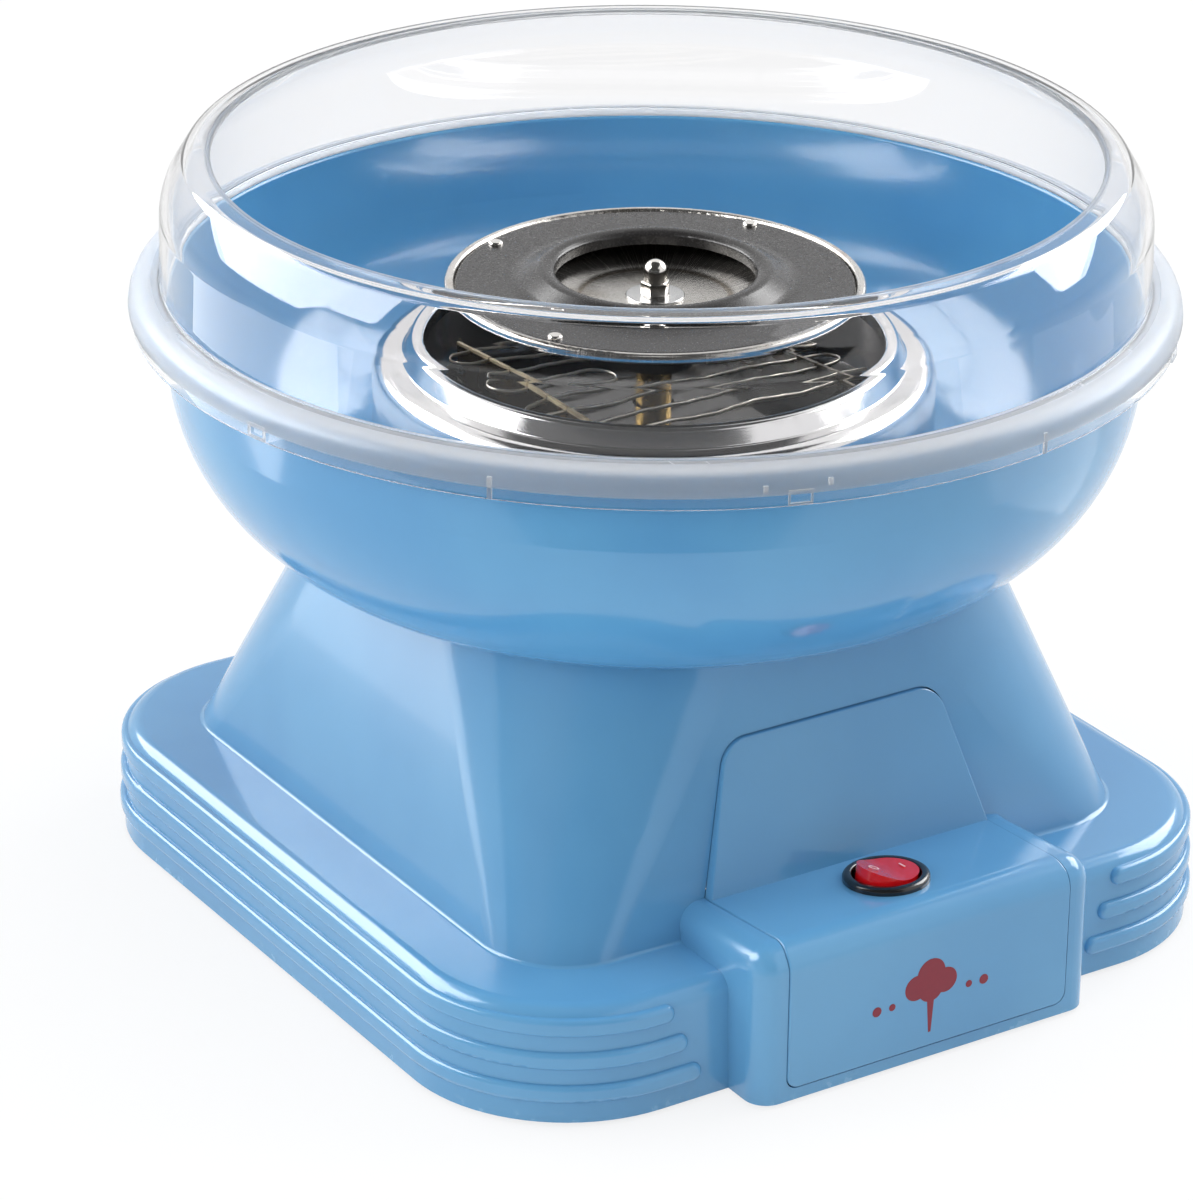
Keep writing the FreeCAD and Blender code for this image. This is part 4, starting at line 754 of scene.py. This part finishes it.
def addMarks(look):
    marks = bmesh.new()
    rise = look["offset"] * math.tan(math.radians(look["slope"])) + look["valley"] + look["lift"]
    ring, half, height = look["ring"] * mm, look["line"] / 2 * mm, look["height"] * mm
    section = ((-half, 0), (half, 0), (half, height), (-half, height))
    verts = [marks.verts.new((ring + x, 0, z)) for x, z in section]
    for index in range(len(verts)):
        marks.edges.new((verts[index - 1], verts[index]))
    spinRound(marks, look["ringSteps"])
    circle = marks.verts[:]
    bar = bmesh.ops.create_cube(marks, size=1.0)["verts"]
    bmesh.ops.scale(marks, vec=(look["line"] * mm, look["barLength"] * mm, height), verts=bar)
    for side, mark in ((-1, circle), (1, bar)):
        lean = Matrix.Rotation(math.radians(-side * look["slope"]), 4, "Y")
        place = Matrix.Translation(Vector((side * look["offset"], 0, rise)) * mm)
        bmesh.ops.transform(marks, matrix=rockerFrame @ place @ lean, verts=mark)
    ink = mattePlastic("mark ink", look["ink"], 0.4)
    finishPiece(marks, "rocker_marks", ink, "rocker")


addMarks(markShape)
print("rocker marked")


motifShape = {
    "middle": (0.0, 19.5),
    "front": 134.1,
    "thickness": 0.05,
    "layer": 0.006,         # each disc lies this much over the one before
    "puffs": [(-4.6, 3.4, 3.6), (0.0, 6.4, 4.4), (4.6, 3.4, 3.6), (0.0, 2.2, 3.9)],   # across, up, radius
    "dots": [(-17.0, 0.0, 1.4), (-12.2, 0.0, 1.0), (12.2, 0.0, 1.0), (17.0, 0.0, 1.4)],
    "stick": (1.1, 9.5),    # half width at the top, length
    "stickTop": -1.2,
    "stickTaper": 0.35,     # width at the foot as a share of the width at the top
}


def addMotif(look):
    ink = mattePlastic("dark red print", linear(126, 24, 44), 0.35)
    work = bmesh.new()
    thickness = look["thickness"]
    for index, (across, up, radius) in enumerate(look["puffs"] + look["dots"]):
        disc = bmesh.ops.create_cone(
            work, cap_ends=True, segments=48, radius1=radius * mm, radius2=radius * mm, depth=thickness * mm,
        )["verts"]
        height = thickness / 2 + index * look["layer"]
        bmesh.ops.translate(work, vec=Vector((across, up, height)) * mm, verts=disc)
    half, length = look["stick"]
    stick = bmesh.ops.create_cube(work, size=1.0)["verts"]
    bmesh.ops.scale(work, vec=Vector((2 * half, length, thickness)) * mm, verts=stick)
    for vert in stick:
        if vert.co.y < 0:
            vert.co.x *= look["stickTaper"]
    middle = Vector((0, look["stickTop"] - length / 2, thickness / 2))
    bmesh.ops.translate(work, vec=middle * mm, verts=stick)
    across, up = look["middle"]
    place = Matrix.Translation(Vector((across, -look["front"], up)) * mm)
    upright = Matrix.Rotation(math.radians(90), 4, "X")
    bmesh.ops.transform(work, matrix=place @ upright, verts=work.verts[:])
    finishPiece(work, "panel_motif", ink, "base")


addMotif(motifShape)
print("panel printed")


studioLook = {
    "floorSide": 12.0,
    "floorShade": 0.9,
    "floorGlow": 0.8,
    "worldStrength": 0.3,
    "lamps": [
        # name, place, aim, width, height, watts
        ("back_left_softbox", (-0.8, 1.05, 0.9), (0, 0, 0.12), 1.5, 0.9, 12.0),
        ("right_softbox", (1.32, -0.05, 0.9), (0, 0, 0.12), 1.2, 0.9, 14.0),
        ("front_softbox", (0.4, -1.3, 0.9), (0, 0, 0.1), 1.2, 1.0, 1.0),
        ("top_softbox", (0.1, -0.25, 1.55), (0, 0, 0.1), 1.2, 1.2, 13.0),
        ("left_softbox", (-1.3, -0.3, 0.7), (0, 0, 0.1), 1.0, 0.8, 6.5),
    ],
    # the lamps light the surfaces, the cards and flags show in them
    "cards": [
        # name, place, aim, width, height, brightness
        ("back_left_card", (-0.53, 0.7, 0.66), (0, 0, 0.19), 1.05, 0.62, 9.0),
        ("right_card", (0.88, -0.03, 0.66), (0, 0, 0.19), 0.8, 0.57, 9.0),
        ("left_card", (-0.91, 0.37, 0.88), (0, 0, 0.19), 0.5, 0.5, 8.0),
        ("table_card_left", (-0.535, 0.38, 0.012), (-0.535, 0.38, -1.0), 0.5, 0.46, 3.5),
        ("table_card_right", (0.42, -0.25, 0.01), (0.42, -0.25, -1.0), 0.4, 0.35, 1.6),
        ("camera_flag", (-1.07, -1.0, 0.84), (0, 0, 0.19), 4.2, 1.5, 0.05),
        ("top_flag", (-0.135, -0.135, 1.27), (0, 0, 0.19), 1.5, 1.6, 0.05),
        ("table_flag", (-0.41, -0.638, 0.012), (-0.421, -0.655, -1.0), 1.8, 0.88, 0.1),
    ],
}


mirroredRays = ("Is Glossy Ray", "Is Transmission Ray")   # these see the studio as the camera does


def addWorld(look):
    world = bpy.data.worlds.new("studio")
    scene.world = world
    world.use_nodes = True
    tree = world.node_tree
    tree.nodes.clear()
    output = tree.nodes.new("ShaderNodeOutputWorld")
    path = tree.nodes.new("ShaderNodeLightPath")
    seen = path.outputs["Is Camera Ray"]
    for name in mirroredRays:
        either = tree.nodes.new("ShaderNodeMath")
        either.operation = "MAXIMUM"
        tree.links.new(seen, either.inputs[0])
        tree.links.new(path.outputs[name], either.inputs[1])
        seen = either.outputs[0]
    mix = tree.nodes.new("ShaderNodeMixShader")
    tree.links.new(seen, mix.inputs[0])
    for index, strength in ((1, look["worldStrength"]), (2, 1.0)):
        background = tree.nodes.new("ShaderNodeBackground")
        background.inputs["Strength"].default_value = strength
        background.inputs["Color"].default_value = (1, 1, 1, 1)
        tree.links.new(background.outputs[0], mix.inputs[index])
    tree.links.new(mix.outputs[0], output.inputs[0])


def addSheet(name, width, height, finish):
    # a flat sheet round the origin, in metres
    work = bmesh.new()
    grid = bmesh.ops.create_grid(work, x_segments=1, y_segments=1, size=0.5)["verts"]
    bmesh.ops.scale(work, vec=(width, height, 1), verts=grid)
    mesh = bpy.data.meshes.new(name)
    work.to_mesh(mesh)
    work.free()
    mesh.materials.append(finish.material)
    sheet = bpy.data.objects.new(name, mesh)
    scene.collection.objects.link(sheet)
    return sheet


def addFloor(look):
    shade = look["floorShade"]
    finish = Finish("floor", Roughness=0.6, Specular_IOR_Level=0.0, Base_Color=(shade, shade, shade))
    seen = finish.add("ShaderNodeLightPath", {}, {}, output="Is Camera Ray")
    for name in mirroredRays:
        seen = seen.larger(finish.add("ShaderNodeLightPath", {}, {}, output=name))
    finish.over(seen * look["floorGlow"], "ShaderNodeEmission", {"Color": (1.0, 1.0, 1.0), "Strength": 1.0})
    addSheet("floor", look["floorSide"], look["floorSide"], finish)


def aimed(thing, place, aim):
    thing.location = place
    thing.rotation_euler = (Vector(aim) - Vector(place)).to_track_quat("-Z", "Y").to_euler()


def addLamps(look):
    for name, place, aim, width, height, watts in look["lamps"]:
        data = bpy.data.lights.new(name, "AREA")
        data.shape = "RECTANGLE"
        data.size = width
        data.size_y = height
        data.energy = watts
        lamp = bpy.data.objects.new(name, data)
        scene.collection.objects.link(lamp)
        aimed(lamp, place, aim)
        lamp.visible_glossy = False
        lamp.visible_transmission = False


def addCards(look):
    for name, place, aim, width, height, brightness in look["cards"]:
        finish = Finish(name, Base_Color=(0.0, 0.0, 0.0), Specular_IOR_Level=0.0)
        finish.set(Emission_Color=(1.0, 1.0, 1.0), Emission_Strength=brightness)
        card = addSheet(name, width, height, finish)
        aimed(card, place, aim)
        card.visible_camera = False
        card.visible_diffuse = False
        card.visible_shadow = False
        card.visible_transmission = place[2] > 0.2   # a card on the table isn't seen through the guard


addWorld(studioLook)
addFloor(studioLook)
addLamps(studioLook)
addCards(studioLook)
print("studio set up")
